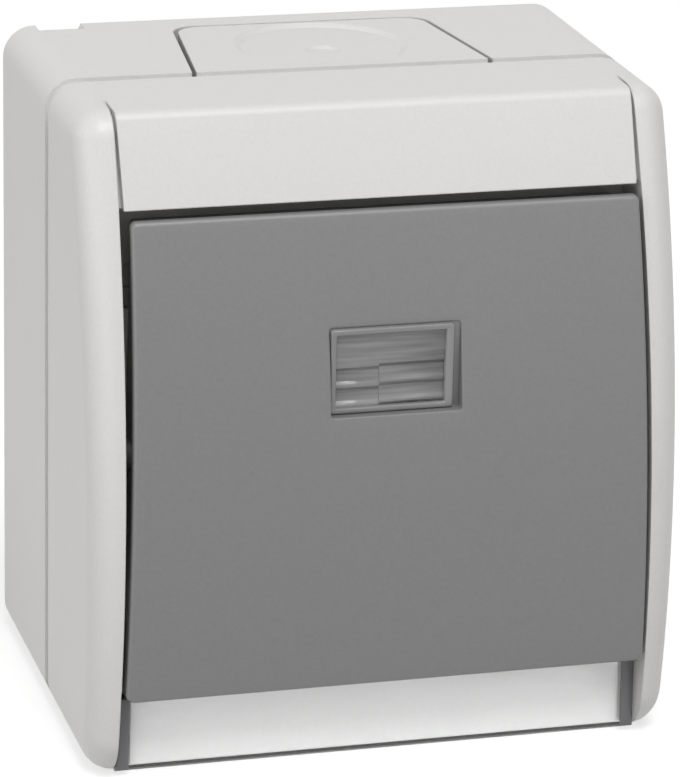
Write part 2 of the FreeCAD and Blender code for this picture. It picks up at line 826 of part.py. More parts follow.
def rocker_cap():
    """Grey moulded rocker: curved skin, four skirts, two trunnions and posts for the actuator."""
    cap = rocker_blank(0)
    cap = cap.makeFillet(rocker_edge_radius, level_front_edges(cap))
    cap = cap.cut(rocker_blank(rocker_skin))
    post_end = pivot_y - actuator_plate_front
    for x, z in post_places():
        post = small_rod(post_radius, x, z, post_end, post_end - rocker_skin)
        cap = cap.fuse(about_pivot(post, rest_tilt))
    for side in (-1, 1):
        start = side * (rocker_half(pivot_z) - rocker_skin / 2)
        reach = rocker_skin / 2 + trunnion_length + rocker_side_gap_top / 2
        pin = Part.makeCylinder(trunnion_radius, reach, vec(start, pivot_y, pivot_z), vec(side, 0, 0))
        cap = cap.fuse(pin)
    return cap.cut(lens_pocket())


def rocker_lens():
    """Clear lens with a raised frame, a sunken pane and ribs across its back."""
    rocker_y = arc_y(lens_z, rocker_arc_radius, -rocker_crown_below_middle, -(depth + rocker_proud))
    front_y = rocker_y + lens_recess
    left = lens_shift - lens_width / 2 + lens_gap
    right = lens_shift + lens_width / 2 - lens_pry_gap
    half_z = lens_height / 2 - lens_gap
    seat = front_y + lens_frame_thickness
    frame = block(left, right, front_y, seat, lens_z - half_z, lens_z + half_z)
    inner_left = left + lens_frame
    inner_right = right - lens_frame
    inner_z = half_z - lens_frame
    back = front_y + lens_thickness
    body = block(inner_left, inner_right, seat, back, lens_z - inner_z, lens_z + inner_z)
    lens = frame.fuse(body)
    lens = lens.cut(block(inner_left, inner_right, front_y - wall, front_y + lens_pane_step,
                          lens_z - inner_z, lens_z + inner_z))
    pitch = 2 * inner_z / lens_rib_count
    for index in range(lens_rib_count):
        low = lens_z - inner_z + index * pitch
        side = [(back, low), (back - lens_rib_height, low), (back, low + pitch)]
        lens = lens.cut(side_prism(side, inner_left, inner_right))
    return lens.removeSplitter()


def actuator():
    """Pusher under the rocker: plate against the posts and a hollow neck for the plunger."""
    plate_front = pivot_y - actuator_plate_front
    plate_back = plate_front + actuator_plate_thickness
    base = stepped_plate(-actuator_plate_half_width, actuator_plate_half_width,
                         pivot_z - actuator_plate_half_height, pivot_z + actuator_plate_half_height,
                         plate_front, plate_back, post_margin)
    neck = stepped_plate(-neck_half_width, neck_half_width,
                         pivot_z - neck_half_width, pivot_z + neck_half_width,
                         plate_back - actuator_plate_thickness / 2, neck_end_y, membrane_lip)
    pusher = base.fuse(neck)
    bore = small_rod(plunger_radius + plunger_clearance, 0, pivot_z, bore_start_y, neck_end_y + wall)
    return about_pivot(pusher.cut(bore), rest_tilt)


def plunger():
    """Spring-loaded pin with a blunt tip that runs on the contact lever."""
    tip_y = lever_pivot_y - lever_thickness - plunger_lever_gap
    body = small_rod(plunger_radius, 0, pivot_z, plunger_start_y, plunger_shoulder_y)
    sections = [ring_outline(plunger_radius, plunger_shoulder_y),
                ring_outline(plunger_tip_radius, tip_y - plunger_nose_length),
                ring_outline(plunger_nose_radius, tip_y)]
    nose = Part.makeLoft(sections, True, True)
    nose.translate(vec(0, 0, pivot_z))
    return about_pivot(body.fuse(nose), rest_tilt)


def plunger_spring():
    """Square-wire compression spring between the neck's bore end and the plunger."""
    length = plunger_start_y - bore_start_y - spring_wire
    coil_radius = plunger_radius - spring_wire / 2
    half = spring_wire / 2
    steps = math.ceil(length / spring_pitch * spring_side_count)
    sections = []
    for index in range(steps + 1):
        middle = bore_start_y + half + length * index / steps
        turn = 2 * math.pi * length * index / steps / spring_pitch
        corners = []
        for out, along in ((-half, -half), (half, -half), (half, half), (-half, half)):
            reach = coil_radius + out
            corners.append(vec(reach * math.cos(turn), middle + along, reach * math.sin(turn)))
        sections.append(Part.makePolygon(corners + corners[:1]))
    coil = Part.makeLoft(sections, True, True)
    coil.translate(vec(0, 0, pivot_z))
    return about_pivot(coil, rest_tilt)


def contact_lever():
    """Seesaw that tips on the common contact's edge, with rounded ends."""
    half = lever_half_length
    side = [(lever_pivot_y, pivot_z - half), (lever_pivot_y - lever_thickness, pivot_z - half),
            (lever_pivot_y - lever_thickness, pivot_z + half), (lever_pivot_y, pivot_z + half)]
    lever = round_y_edges(side_prism(side, -lever_half_width, lever_half_width), lever_end_radius)
    return about_lever_pivot(lever, lever_tilt)


def lever_rivets():
    """Two contact faces on the back of the lever's arms."""
    faces = []
    for side in (-1, 1):
        face = small_rod(rivet_radius, 0, pivot_z + side * lever_rivet_reach,
                         lever_pivot_y, lever_pivot_y + rivet_thickness)
        faces.append(about_lever_pivot(face, lever_tilt))
    return group(faces)


def contact_strip(z, x0, x1):
    return block(x0, x1, strip_front_y, strip_back_y, z - strip_width / 2, z + strip_width / 2)


def fixed_contact(side):
    """Strip from under the lever's arm to its terminal clamp."""
    z = pivot_z + side * lever_rivet_reach
    return contact_strip(z, -strip_width / 2, terminal_reach + clamp_width / 2)


def common_contact():
    """Strip from its clamp to the middle, with an upright edge that carries the lever."""
    strip = contact_strip(pivot_z, -terminal_reach - clamp_width / 2, lever_half_width)
    edge_y = lever_pivot_y + lever_support_gap
    half = strip_thickness / 2
    side = [(strip_front_y, pivot_z - half), (edge_y + half, pivot_z - half), (edge_y, pivot_z),
            (edge_y + half, pivot_z + half), (strip_front_y, pivot_z + half)]
    upright = side_prism(side, -lever_half_width, lever_half_width)
    return strip.fuse(upright)


def contact_rivets():
    """Fixed contact faces, one on each outer strip."""
    return group([small_rod(rivet_radius, 0, pivot_z + side * lever_rivet_reach,
                            fixed_rivet_y, strip_front_y) for side in (-1, 1)])


def terminal_places():
    return [(terminal_reach, pivot_z + lever_rivet_reach), (terminal_reach, pivot_z - lever_rivet_reach),
            (-terminal_reach, pivot_z)]


def terminal_clamps():
    """Cage clamps, open sideways for the strip and the wire, tapped at the front."""
    clamps = []
    front = clamp_front_y
    for x, z in terminal_places():
        cage = block(x - clamp_width / 2, x + clamp_width / 2, front, front + clamp_depth,
                     z - clamp_height / 2 + part_clearance, z + clamp_height / 2 - part_clearance)
        window = block(x - clamp_width, x + clamp_width,
                       front + 2 * clamp_wall, front + clamp_depth - clamp_wall,
                       z - strip_width / 2 - part_clearance, z + strip_width / 2 + part_clearance)
        cage = cage.cut(window)
        hole = small_rod(terminal_screw_radius + screw_hole_clearance, x, z,
                         front - wall, front + 3 * clamp_wall)
        clamps.append(cage.cut(hole))
    return group(clamps)


def terminal_screws():
    head_y = clamp_front_y - screw_head_height
    return group([slotted_screw(x, z, head_y, terminal_screw_radius, terminal_screw_head_radius,
                                screw_head_height, terminal_screw_length) for x, z in terminal_places()])


def ear(side):
    y1 = mechanism_back_y - ear_thickness
    inner = side * (mechanism_half_width - mechanism_wall / 2)
    outer = side * (mechanism_half_width + ear_length)
    return block(inner, outer, mechanism_back_y, y1, pivot_z - ear_half_height, pivot_z + ear_half_height)


def mechanism_base():
    """Insulating tray: contact chamber in the middle, a pocket for each clamp, two fixing ears."""
    base = stepped_plate(-mechanism_half_width, mechanism_half_width,
                         pivot_z - mechanism_half_height, pivot_z + mechanism_half_height,
                         mechanism_back_y, mechanism_front_y, mechanism_wall)
    floor = mechanism_back_y - mechanism_wall
    top = mechanism_front_y - wall
    long_half = mechanism_half_height - chamber_end_margin
    base = base.cut(block(-chamber_half_width, chamber_half_width, floor, top,
                          pivot_z - long_half, pivot_z + long_half))
    for x, z in terminal_places():
        base = base.cut(block(x - clamp_width / 2 - part_clearance, x + clamp_width / 2 + part_clearance,
                              strip_back_y + clamp_wall + part_clearance, top,
                              z - clamp_height / 2, z + clamp_height / 2))
        slot = block(0, x, strip_back_y + part_clearance, strip_front_y - part_clearance,
                     z - strip_width / 2 - part_clearance, z + strip_width / 2 + part_clearance)
        base = base.cut(slot)
        wire_y = (strip_front_y + clamp_front_y + 2 * clamp_wall) / 2
        length = mechanism_half_width - terminal_reach + wall
        base = base.cut(block(x, x + math.copysign(length, x),
                              wire_y - wire_hole_half, wire_y + wire_hole_half,
                              z - wire_hole_half, z + wire_hole_half))
    for side in (-1, 0, 1):
        z = pivot_z + side * lever_rivet_reach
        base = base.fuse(block(-strip_width / 2, strip_width / 2, floor + wall / 2, strip_back_y,
                               z - strip_width / 2, z + strip_width / 2))
    for side in (-1, 1):
        base = base.fuse(ear(side))
        base = base.cut(small_rod(screw_radius + screw_hole_clearance, side * ear_x, pivot_z,
                                  0, mechanism_back_y - 2 * ear_thickness))
    for x, z in lid_screw_places():
        base = base.cut(small_rod(lid_screw_radius, x, z, mechanism_front_y - wall,
                                  lid_front_y + lid_screw_length + bore_run_out))
    return base


def lid_screw_places():
    z = mechanism_half_height - lid_screw_margin
    return [(0, pivot_z + side * z) for side in (-1, 1)]


def mechanism_lid():
    """Cover of the contact chamber, open for the actuator's neck, the lamp pins and the clamp screws."""
    lid = stepped_plate(-mechanism_half_width, mechanism_half_width,
                        pivot_z - mechanism_half_height, pivot_z + mechanism_half_height,
                        lid_front_y, mechanism_front_y, mechanism_wall)
    room = neck_half_width + neck_clearance
    room_z = room + (neck_end_y - pivot_y) * math.sin(math.radians(rocker_stroke / 2))
    lid = lid.cut(block(-room, room, lid_front_y - wall, mechanism_front_y + wall,
                        pivot_z - room_z, pivot_z + room_z))
    for x, z in terminal_places():
        lid = lid.cut(small_rod(terminal_screw_head_radius + part_clearance, x, z,
                                lid_front_y - wall, mechanism_front_y + wall))
    for x, z in lamp_pin_places():
        lid = lid.cut(small_rod(lamp_pin_radius + screw_hole_clearance, x, z,
                                lid_front_y - wall, mechanism_front_y + wall))
    for x, z in lid_screw_places():
        lid = lid.cut(small_rod(lid_screw_radius + screw_hole_clearance, x, z,
                                lid_front_y - wall, mechanism_front_y + wall))
    return lid


def mechanism_screws():
    head_y = mechanism_back_y - ear_thickness - screw_head_height
    length = ear_thickness - mechanism_back_y - rear_wall - part_clearance
    return group([slotted_screw(side * ear_x, pivot_z, head_y, screw_radius - screw_hole_clearance / 2,
                                screw_head_radius, screw_head_height, length) for side in (-1, 1)])


def lid_screws():
    head_y = lid_front_y - lid_screw_head_height
    return group([slotted_screw(x, z, head_y, lid_screw_radius - screw_hole_clearance / 2,
                                lid_screw_head_radius, lid_screw_head_height, lid_screw_length)
                  for x, z in lid_screw_places()])


def lamp_pin_places():
    return [(lamp_pin_reach, pivot_z + side * lever_rivet_reach) for side in (-1, 1)]


def lamp_holder():
    """Angled block on the lid that carries the lamp under the lens and its two pins."""
    front = lid_front_y - lamp_holder_thickness
    inner = lamp_pin_reach - pin_margin
    outer = lamp_pin_reach + pin_margin
    upright = block(inner, outer, lid_front_y, front, pivot_z - lever_rivet_reach - pin_margin,
                    lens_z + lamp_holder_half_width)
    arm = block(-lamp_holder_half_width, outer, lid_front_y, front, lens_z - lamp_holder_half_width,
                lens_z + lamp_holder_half_width)
    holder = upright.fuse(arm).removeSplitter()
    for x, z in lamp_pin_places():
        holder = holder.cut(small_rod(lamp_pin_radius + stake_clearance / 2, x, z,
                                      front + lamp_holder_thickness / 2, 0))
    return holder


def lamp_pins():
    top = lid_front_y - lamp_holder_thickness / 2
    return group([small_rod(lamp_pin_radius, x, z, top, strip_front_y) for x, z in lamp_pin_places()])


def indicator_lamp():
    """Glow lamp: glass tube with a domed end, standing on its holder."""
    base = lid_front_y - lamp_holder_thickness
    shoulder = base - lamp_length + lamp_radius
    sections = [ring_outline(lamp_radius, base)]
    for index in range(lamp_dome_count):
        angle = math.pi / 2 * index / lamp_dome_count
        sections.append(ring_outline(lamp_radius * math.cos(angle),
                                     shoulder - lamp_radius * math.sin(angle)))
    lamp = Part.makeLoft(sections, True, True)
    lamp.translate(vec(0, 0, lens_z))
    return lamp


def main():
    pieces = {
        "back_box": back_box(),
        "cable_entry_plate": cable_entry_plate(),
        "rim_gasket": rim_gasket(),
        "front_cover": front_cover(),
        "cover_screws": cover_screws(),
        "screw_seals": screw_seals(),
        "rocker_seal": rocker_seal(),
        "seal_retainer": seal_retainer(),
        "label_window": label_window(),
        "label_card": label_card(),
        "rocker_cap": rocker_cap(),
        "rocker_lens": rocker_lens(),
        "actuator": actuator(),
        "plunger": plunger(),
        "plunger_spring": plunger_spring(),
        "contact_lever": contact_lever(),
        "lever_rivets": lever_rivets(),
        "common_contact": common_contact(),
        "upper_contact": fixed_contact(1),
        "lower_contact": fixed_contact(-1),
        "contact_rivets": contact_rivets(),
        "terminal_clamps": terminal_clamps(),
        "terminal_screws": terminal_screws(),
        "mechanism_base": mechanism_base(),
        "mechanism_lid": mechanism_lid(),
        "mechanism_screws": mechanism_screws(),
        "lid_screws": lid_screws(),
        "lamp_holder": lamp_holder(),
        "lamp_pins": lamp_pins(),
        "indicator_lamp": indicator_lamp(),
    }
    os.makedirs("parts", exist_ok=True)
    for name, shape in pieces.items():
        print(name, "solids", len(shape.Solids), "valid", shape.isValid(), "volume", round(shape.Volume, 2))
        shape.exportStep("parts/" + name + ".step")


main()
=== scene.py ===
import json
import math

import bmesh
import bpy
import numpy as np
from mathutils import Matrix, Vector


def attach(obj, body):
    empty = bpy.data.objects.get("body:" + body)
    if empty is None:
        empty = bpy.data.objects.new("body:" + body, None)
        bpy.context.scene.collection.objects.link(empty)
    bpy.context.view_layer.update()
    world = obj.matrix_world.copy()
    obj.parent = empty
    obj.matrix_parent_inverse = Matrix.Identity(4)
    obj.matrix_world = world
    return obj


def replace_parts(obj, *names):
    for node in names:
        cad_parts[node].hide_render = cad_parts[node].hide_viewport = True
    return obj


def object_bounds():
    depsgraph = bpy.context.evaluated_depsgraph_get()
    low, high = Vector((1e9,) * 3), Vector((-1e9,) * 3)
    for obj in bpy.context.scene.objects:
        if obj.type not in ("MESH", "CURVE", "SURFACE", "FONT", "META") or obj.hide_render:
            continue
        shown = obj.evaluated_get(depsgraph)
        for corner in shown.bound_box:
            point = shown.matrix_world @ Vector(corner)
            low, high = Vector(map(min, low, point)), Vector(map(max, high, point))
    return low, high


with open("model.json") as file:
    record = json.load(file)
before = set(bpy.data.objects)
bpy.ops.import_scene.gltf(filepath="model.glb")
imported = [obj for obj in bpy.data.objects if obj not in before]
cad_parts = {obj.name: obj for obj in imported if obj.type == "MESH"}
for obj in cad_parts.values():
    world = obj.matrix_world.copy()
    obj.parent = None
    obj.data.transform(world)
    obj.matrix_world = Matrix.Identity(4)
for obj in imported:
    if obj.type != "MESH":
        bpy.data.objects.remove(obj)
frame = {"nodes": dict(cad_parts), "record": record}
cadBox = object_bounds()
print("frame loaded:", len(frame["nodes"]), "nodes")

mm = 0.001


# Helpers for meshes: points nearer than mergeWithin are joined, edges under tooShort go (both in metres)

meshRepair = dict(mergeWithin=2e-7, tooShort=1e-8)


def addMesh(name, points, faces, body, material, smoothAngle=35.0):
    # points in millimetres; the piece stays at the origin with its place in its mesh
    mesh = bpy.data.meshes.new(name)
    mesh.from_pydata((np.asarray(points, float) * mm).tolist(), [], [face.tolist() for face in faces])
    work = bmesh.new()
    work.from_mesh(mesh)
    bmesh.ops.remove_doubles(work, verts=work.verts, dist=meshRepair["mergeWithin"])
    bmesh.ops.dissolve_degenerate(work, edges=work.edges, dist=meshRepair["tooShort"])
    bmesh.ops.recalc_face_normals(work, faces=work.faces)
    work.to_mesh(mesh)
    work.free()
    piece = bpy.data.objects.new(name, mesh)
    bpy.context.scene.collection.objects.link(piece)
    mesh.materials.append(material)
    shadeByAngle(mesh, smoothAngle)
    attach(piece, body)
    return piece


def shadeByAngle(mesh, degrees):
    # smooth everywhere, with the edges sharper than the angle kept crisp
    mesh.shade_smooth()
    mesh.set_sharp_from_angle(angle=math.radians(degrees))


def gridFaces(rows, columns, closeRows=False, closeColumns=False):
    # quads between neighbours of a rows x columns grid, joined round where asked
    index = np.arange(rows * columns).reshape(rows, columns)
    down = np.roll(index, -1, 0)
    right = np.roll(index, -1, 1)
    both = np.roll(down, -1, 1)
    quads = np.stack([index, right, both, down], -1)
    if not closeRows:
        quads = quads[:-1]
    if not closeColumns:
        quads = quads[:, :-1]
    return quads.reshape(-1, 4)


# Helpers for materials

def nodeTree(name):
    material = bpy.data.materials.new(name)
    material.use_nodes = True
    tree = material.node_tree
    tree.nodes.clear()
    output = tree.nodes.new("ShaderNodeOutputMaterial")
    shader = tree.nodes.new("ShaderNodeBsdfPrincipled")
    tree.links.new(shader.outputs["BSDF"], output.inputs["Surface"])
    return material, tree, shader


def addNode(tree, kind, values=None, **settings):
    node = tree.nodes.new(kind)
    for key, value in settings.items():
        setattr(node, key, value)
    for key, value in (values or {}).items():
        node.inputs[key].default_value = value
    return node


def join(tree, *pairs):
    for start, end in pairs:
        tree.links.new(start, end)


def maths(tree, operation, first, second):
    # output of a Math node; each input is the output of another node or a plain number
    node = addNode(tree, "ShaderNodeMath", operation=operation)
    for socket, value in zip(node.inputs, (first, second)):
        if isinstance(value, float):
            socket.default_value = value
        else:
            tree.links.new(value, socket)
    return node.outputs[0]


def seenDirectly(tree):
    # 1 where the camera, a reflection or a clear piece shows the surface, 0 where it only gives light
    path = addNode(tree, "ShaderNodeLightPath").outputs
    shown = maths(tree, "MAXIMUM", path["Is Camera Ray"], path["Is Glossy Ray"])
    return maths(tree, "MAXIMUM", shown, path["Is Transmission Ray"])


def newGroup(name, inputs, outputs):
    group = bpy.data.node_groups.new(name, "ShaderNodeTree")
    for direction, labels in (("INPUT", inputs), ("OUTPUT", outputs)):
        for label in labels:
            kind = "NodeSocketColor" if label == "Colour" else "NodeSocketFloat"
            group.interface.new_socket(name=label, in_out=direction, socket_type=kind)
    start = group.nodes.new("NodeGroupInput")
    end = group.nodes.new("NodeGroupOutput")
    return group, start, end


surfaceInputs = ("Colour", "TextureScale", "TextureDepth", "FlowDepth", "Drift", "Speckle",
                 "Roughness", "RoughnessSpread")

# Grain shared by all opaque surfaces: broadScale in cells for each metre, poreScale as a share of the
# surface's own scale, poreShare the pores' depth beside the fine noise, whose usual range is low to high
grain = dict(fineDetail=3.0, fineRoughness=0.6, fineLow=0.25, fineHigh=0.75, broadScale=55.0, broadDetail=2.0,
             poreScale=0.6, poreShare=0.6)


def buildMouldedSurface():
    # moulded plastic: spark texture (fine noise and pores), slow flow waviness (broad noise) and tone drift
    # height = texture depth x (fine noise + share x pore distance) + flow depth x broad noise
    # tone = colour x (1 + drift x broad noise + speckle x fine noise), with both noises stretched to -1 to 1
    # roughness = base value + spread x stretched broad noise
    group, start, end = newGroup("mouldedSurface", surfaceInputs, ("Colour", "Roughness", "Height"))
    given = start.outputs
    where = addNode(group, "ShaderNodeTexCoord").outputs["Object"]
    fine = addNode(group, "ShaderNodeTexNoise",
                   {"Detail": grain["fineDetail"], "Roughness": grain["fineRoughness"]})
    broad = addNode(group, "ShaderNodeTexNoise",
                    {"Scale": grain["broadScale"], "Detail": grain["broadDetail"]})
    pores = addNode(group, "ShaderNodeTexVoronoi")
    poreScale = maths(group, "MULTIPLY", given["TextureScale"], grain["poreScale"])
    join(group, (where, fine.inputs["Vector"]), (where, broad.inputs["Vector"]),
         (where, pores.inputs["Vector"]), (given["TextureScale"], fine.inputs["Scale"]),
         (poreScale, pores.inputs["Scale"]))
    poreDepth = maths(group, "MULTIPLY", pores.outputs["Distance"], grain["poreShare"])
    spark = maths(group, "ADD", fine.outputs["Fac"], poreDepth)
    texture = maths(group, "MULTIPLY", spark, given["TextureDepth"])
    flow = maths(group, "MULTIPLY", broad.outputs["Fac"], given["FlowDepth"])
    slow = addNode(group, "ShaderNodeMapRange", {"To Min": -1.0, "To Max": 1.0})
    quick = addNode(group, "ShaderNodeMapRange",
                    {"From Min": grain["fineLow"], "From Max": grain["fineHigh"],
                     "To Min": -1.0, "To Max": 1.0})
    join(group, (broad.outputs["Fac"], slow.inputs["Value"]), (fine.outputs["Fac"], quick.inputs["Value"]))
    drift = maths(group, "MULTIPLY", slow.outputs[0], given["Drift"])
    speckle = maths(group, "MULTIPLY", quick.outputs[0], given["Speckle"])
    tone = maths(group, "ADD", maths(group, "ADD", drift, speckle), 1.0)
    spread = maths(group, "MULTIPLY", slow.outputs[0], given["RoughnessSpread"])
    colour = addNode(group, "ShaderNodeVectorMath", operation="SCALE")
    join(group, (given["Colour"], colour.inputs[0]), (tone, colour.inputs["Scale"]),
         (colour.outputs[0], end.inputs["Colour"]),
         (maths(group, "ADD", spread, given["Roughness"]), end.inputs["Roughness"]),
         (maths(group, "ADD", texture, flow), end.inputs["Height"]))
    return group


def surfaceMaterial(name, look):
    # one opaque surface: the shared group gives colour, roughness and height, and the edges are softened
    material, tree, shader = nodeTree(name)
    surface = addNode(tree, "ShaderNodeGroup", node_tree=mouldedSurface)
    for key in surfaceInputs:
        surface.inputs[key].default_value = look[key]
    softEdge = addNode(tree, "ShaderNodeBevel", {"Radius": look["edgeRadius"] * mm}, samples=4)
    bump = addNode(tree, "ShaderNodeBump",
                   {"Strength": look["bumpStrength"], "Distance": look["bumpDistance"]})
    join(tree, (surface.outputs["Colour"], shader.inputs["Base Color"]),
         (surface.outputs["Roughness"], shader.inputs["Roughness"]),
         (softEdge.outputs["Normal"], bump.inputs["Normal"]),
         (surface.outputs["Height"], bump.inputs["Height"]),
         (bump.outputs["Normal"], shader.inputs["Normal"]))
    shader.inputs["Specular IOR Level"].default_value = look["specular"]
    shader.inputs["Metallic"].default_value = look["metallic"]
    return material


def clearMaterial(name, colour, roughness, transmission, shadow):
    # clear plastic or glass: shadow rays mostly pass, so that what lies behind stays lit
    # alpha = the shadow value on shadow rays, 1 on all others
    material, tree, shader = nodeTree(name)
    shader.inputs["Base Color"].default_value = colour
    shader.inputs["Roughness"].default_value = roughness
    shader.inputs["IOR"].default_value = 1.5
    shader.inputs["Transmission Weight"].default_value = transmission
    path = addNode(tree, "ShaderNodeLightPath")
    alpha = addNode(tree, "ShaderNodeMath", {0: shadow - 1.0, 2: 1.0}, operation="MULTIPLY_ADD")
    join(tree, (path.outputs["Is Shadow Ray"], alpha.inputs[1]), (alpha.outputs[0], shader.inputs["Alpha"]))
    return material


mouldedSurface = buildMouldedSurface()

# Finishes: TextureScale in cells for each metre, bumpDistance in metres, edgeRadius in millimetres
housingLook = dict(Colour=(0.70, 0.690, 0.672, 1.0), TextureScale=2600.0, TextureDepth=1.0, FlowDepth=0.6,
                   Drift=0.015, Speckle=0.025, Roughness=0.42, RoughnessSpread=0.06, bumpStrength=0.25,
                   bumpDistance=0.00003, specular=0.5, metallic=0.0, edgeRadius=0.22)
rockerLook = dict(housingLook, Colour=(0.18, 0.18, 0.18, 1.0), TextureScale=2300.0, FlowDepth=0.5,
                  Drift=0.02, Speckle=0.06, Roughness=0.45, RoughnessSpread=0.05, bumpStrength=0.35,
                  bumpDistance=0.00004, specular=0.9)
innerLook = dict(housingLook, Colour=(0.78, 0.77, 0.73, 1.0), Roughness=0.5)
darkLook = dict(housingLook, Colour=(0.018, 0.018, 0.02, 1.0), Roughness=0.5, Speckle=0.1)
rubberLook = dict(housingLook, Colour=(0.012, 0.012, 0.012, 1.0), Roughness=0.7, Speckle=0.15,
                  bumpStrength=0.5, specular=0.35)
membraneLook = dict(housingLook, Colour=(0.60, 0.61, 0.61, 1.0), Roughness=0.55, Speckle=0.05)
cardLook = dict(housingLook, Colour=(0.80, 0.80, 0.79, 1.0), Roughness=0.65, TextureScale=1800.0,
                bumpStrength=0.2, edgeRadius=0.05)
brassLook = dict(housingLook, Colour=(0.79, 0.62, 0.33, 1.0), TextureScale=900.0, Roughness=0.3, metallic=1.0,
                 RoughnessSpread=0.12, Speckle=0.04, bumpStrength=0.15, edgeRadius=0.08)
silverLook = dict(brassLook, Colour=(0.86, 0.86, 0.84, 1.0), Roughness=0.25)
steelLook = dict(brassLook, Colour=(0.62, 0.62, 0.62, 1.0), Roughness=0.36, TextureScale=1300.0)
springLook = dict(brassLook, Colour=(0.50, 0.50, 0.52, 1.0), Roughness=0.3, TextureScale=1500.0)

materials = {
    "housing_grey": surfaceMaterial("housingPlastic", housingLook),
    "rocker_grey": surfaceMaterial("rockerPlastic", rockerLook),
    "inner_white": surfaceMaterial("innerPlastic", innerLook),
    "inner_dark": surfaceMaterial("darkPlastic", darkLook),
    "seal_rubber": surfaceMaterial("sealRubber", rubberLook),
    "seal_silicone": surfaceMaterial("membraneSilicone", membraneLook),
    "card_white": surfaceMaterial("labelCard", cardLook),
    "brass": surfaceMaterial("stampedBrass", brassLook),
    "silver_contact": surfaceMaterial("silverContact", silverLook),
    "steel": surfaceMaterial("platedSteel", steelLook),
    "spring_steel": surfaceMaterial("springSteel", springLook),
    "clear_plastic": clearMaterial("clearPlastic", (0.96, 0.965, 0.965, 1.0), roughness=0.04,
                                   transmission=1.0, shadow=0.12),
    "lamp_glass": clearMaterial("lampGlass", (0.95, 0.72, 0.45, 1.0), roughness=0.02,
                                transmission=1.0, shadow=0.2),
}
lensSmoke = clearMaterial("lensPrisms", (0.36, 0.36, 0.365, 1.0), roughness=0.12, transmission=0.45,
                          shadow=0.6)
lensRim = clearMaterial("lensRim", (0.44, 0.44, 0.44, 1.0), roughness=0.2, transmission=0.45, shadow=0.8)
# dark grey tint of the window's end ribs: painted shade for the shaded ends of the window
windowEndShade = clearMaterial("windowEndShade", (0.2, 0.2, 0.21, 1.0), roughness=0.16, transmission=0.3, shadow=0.6)

# Painted shade: the lens is darker towards the right, standing for the shadow of the right frame bar
# Streaks in the lens: stretch counts them for each metre along x, y and z; the painted shade runs along x, in
# metres
streakAndShade = dict(stretch=(90.0, 1.0, 1500.0), detail=2.0, noiseLow=0.3, noiseHigh=0.7, dark=0.72, light=1.25,
              shadeFrom=0.0015, shadeTo=0.0075, shadeLevel=0.62, tint=(0.38, 0.38, 0.385))


def addStreaksAndShade():
    # colour of the lens = tint x level streaks x painted shade, which falls from 1 to its level towards the
    # right
    # the painted shade stands for the shadow of the right frame bar
    tree = lensSmoke.node_tree
    shader = next(node for node in tree.nodes if node.type == "BSDF_PRINCIPLED")
    where = addNode(tree, "ShaderNodeTexCoord").outputs["Object"]
    stretched = addNode(tree, "ShaderNodeMapping", {"Scale": streakAndShade["stretch"]})
    noise = addNode(tree, "ShaderNodeTexNoise", {"Scale": 1.0, "Detail": streakAndShade["detail"]})
    level = addNode(tree, "ShaderNodeMapRange",
                    {"From Min": streakAndShade["noiseLow"], "From Max": streakAndShade["noiseHigh"],
                     "To Min": streakAndShade["dark"], "To Max": streakAndShade["light"]})
    place = addNode(tree, "ShaderNodeSeparateXYZ")
    # painted shade: darker towards the right, where the right frame bar's shadow falls
    paintedShade = addNode(tree, "ShaderNodeMapRange",
                   {"From Min": streakAndShade["shadeFrom"], "From Max": streakAndShade["shadeTo"],
                    "To Min": 1.0, "To Max": streakAndShade["shadeLevel"]})
    tinted = addNode(tree, "ShaderNodeVectorMath", {0: streakAndShade["tint"]}, operation="SCALE")
    join(tree, (where, stretched.inputs["Vector"]), (stretched.outputs[0], noise.inputs["Vector"]),
         (noise.outputs["Fac"], level.inputs["Value"]), (where, place.inputs[0]),
         (place.outputs["X"], paintedShade.inputs["Value"]),
         (maths(tree, "MULTIPLY", level.outputs[0], paintedShade.outputs[0]), tinted.inputs["Scale"]),
         (tinted.outputs[0], shader.inputs["Base Color"]))


addStreaksAndShade()
slotOf = {row["node"]: row["material_slot"] for row in frame["record"]["subparts"]}
for name, node in frame["nodes"].items():
    node.data.materials.clear()
    node.data.materials.append(materials[slotOf[name]])
print("materials made:", len(materials))

# Sizes of the closed switch in millimetres, as in the solids
switch = dict(width=68.0, height=75.0, depth=50.5, bandHeight=10.0, chinHeight=9.25,
              cheekTop=4.35, cheekBottom=3.25, pivotSetback=8.5, pivotBelow=1.0, restTilt=-2.5)
halfHeight = switch["height"] / 2
wellTop = halfHeight - switch["bandHeight"]
wellBottom = -halfHeight + switch["chinHeight"]
pivotY = -(switch["depth"] - switch["pivotSetback"])
pivotZ = -switch["pivotBelow"]


def wellHalf(z):
    # half the room between the cheeks, which widens downwards
    share = (halfHeight - z) / switch["height"]
    return switch["width"] / 2 - switch["cheekTop"] - share * (switch["cheekBottom"] - switch["cheekTop"])


# Forms shared by the new pieces

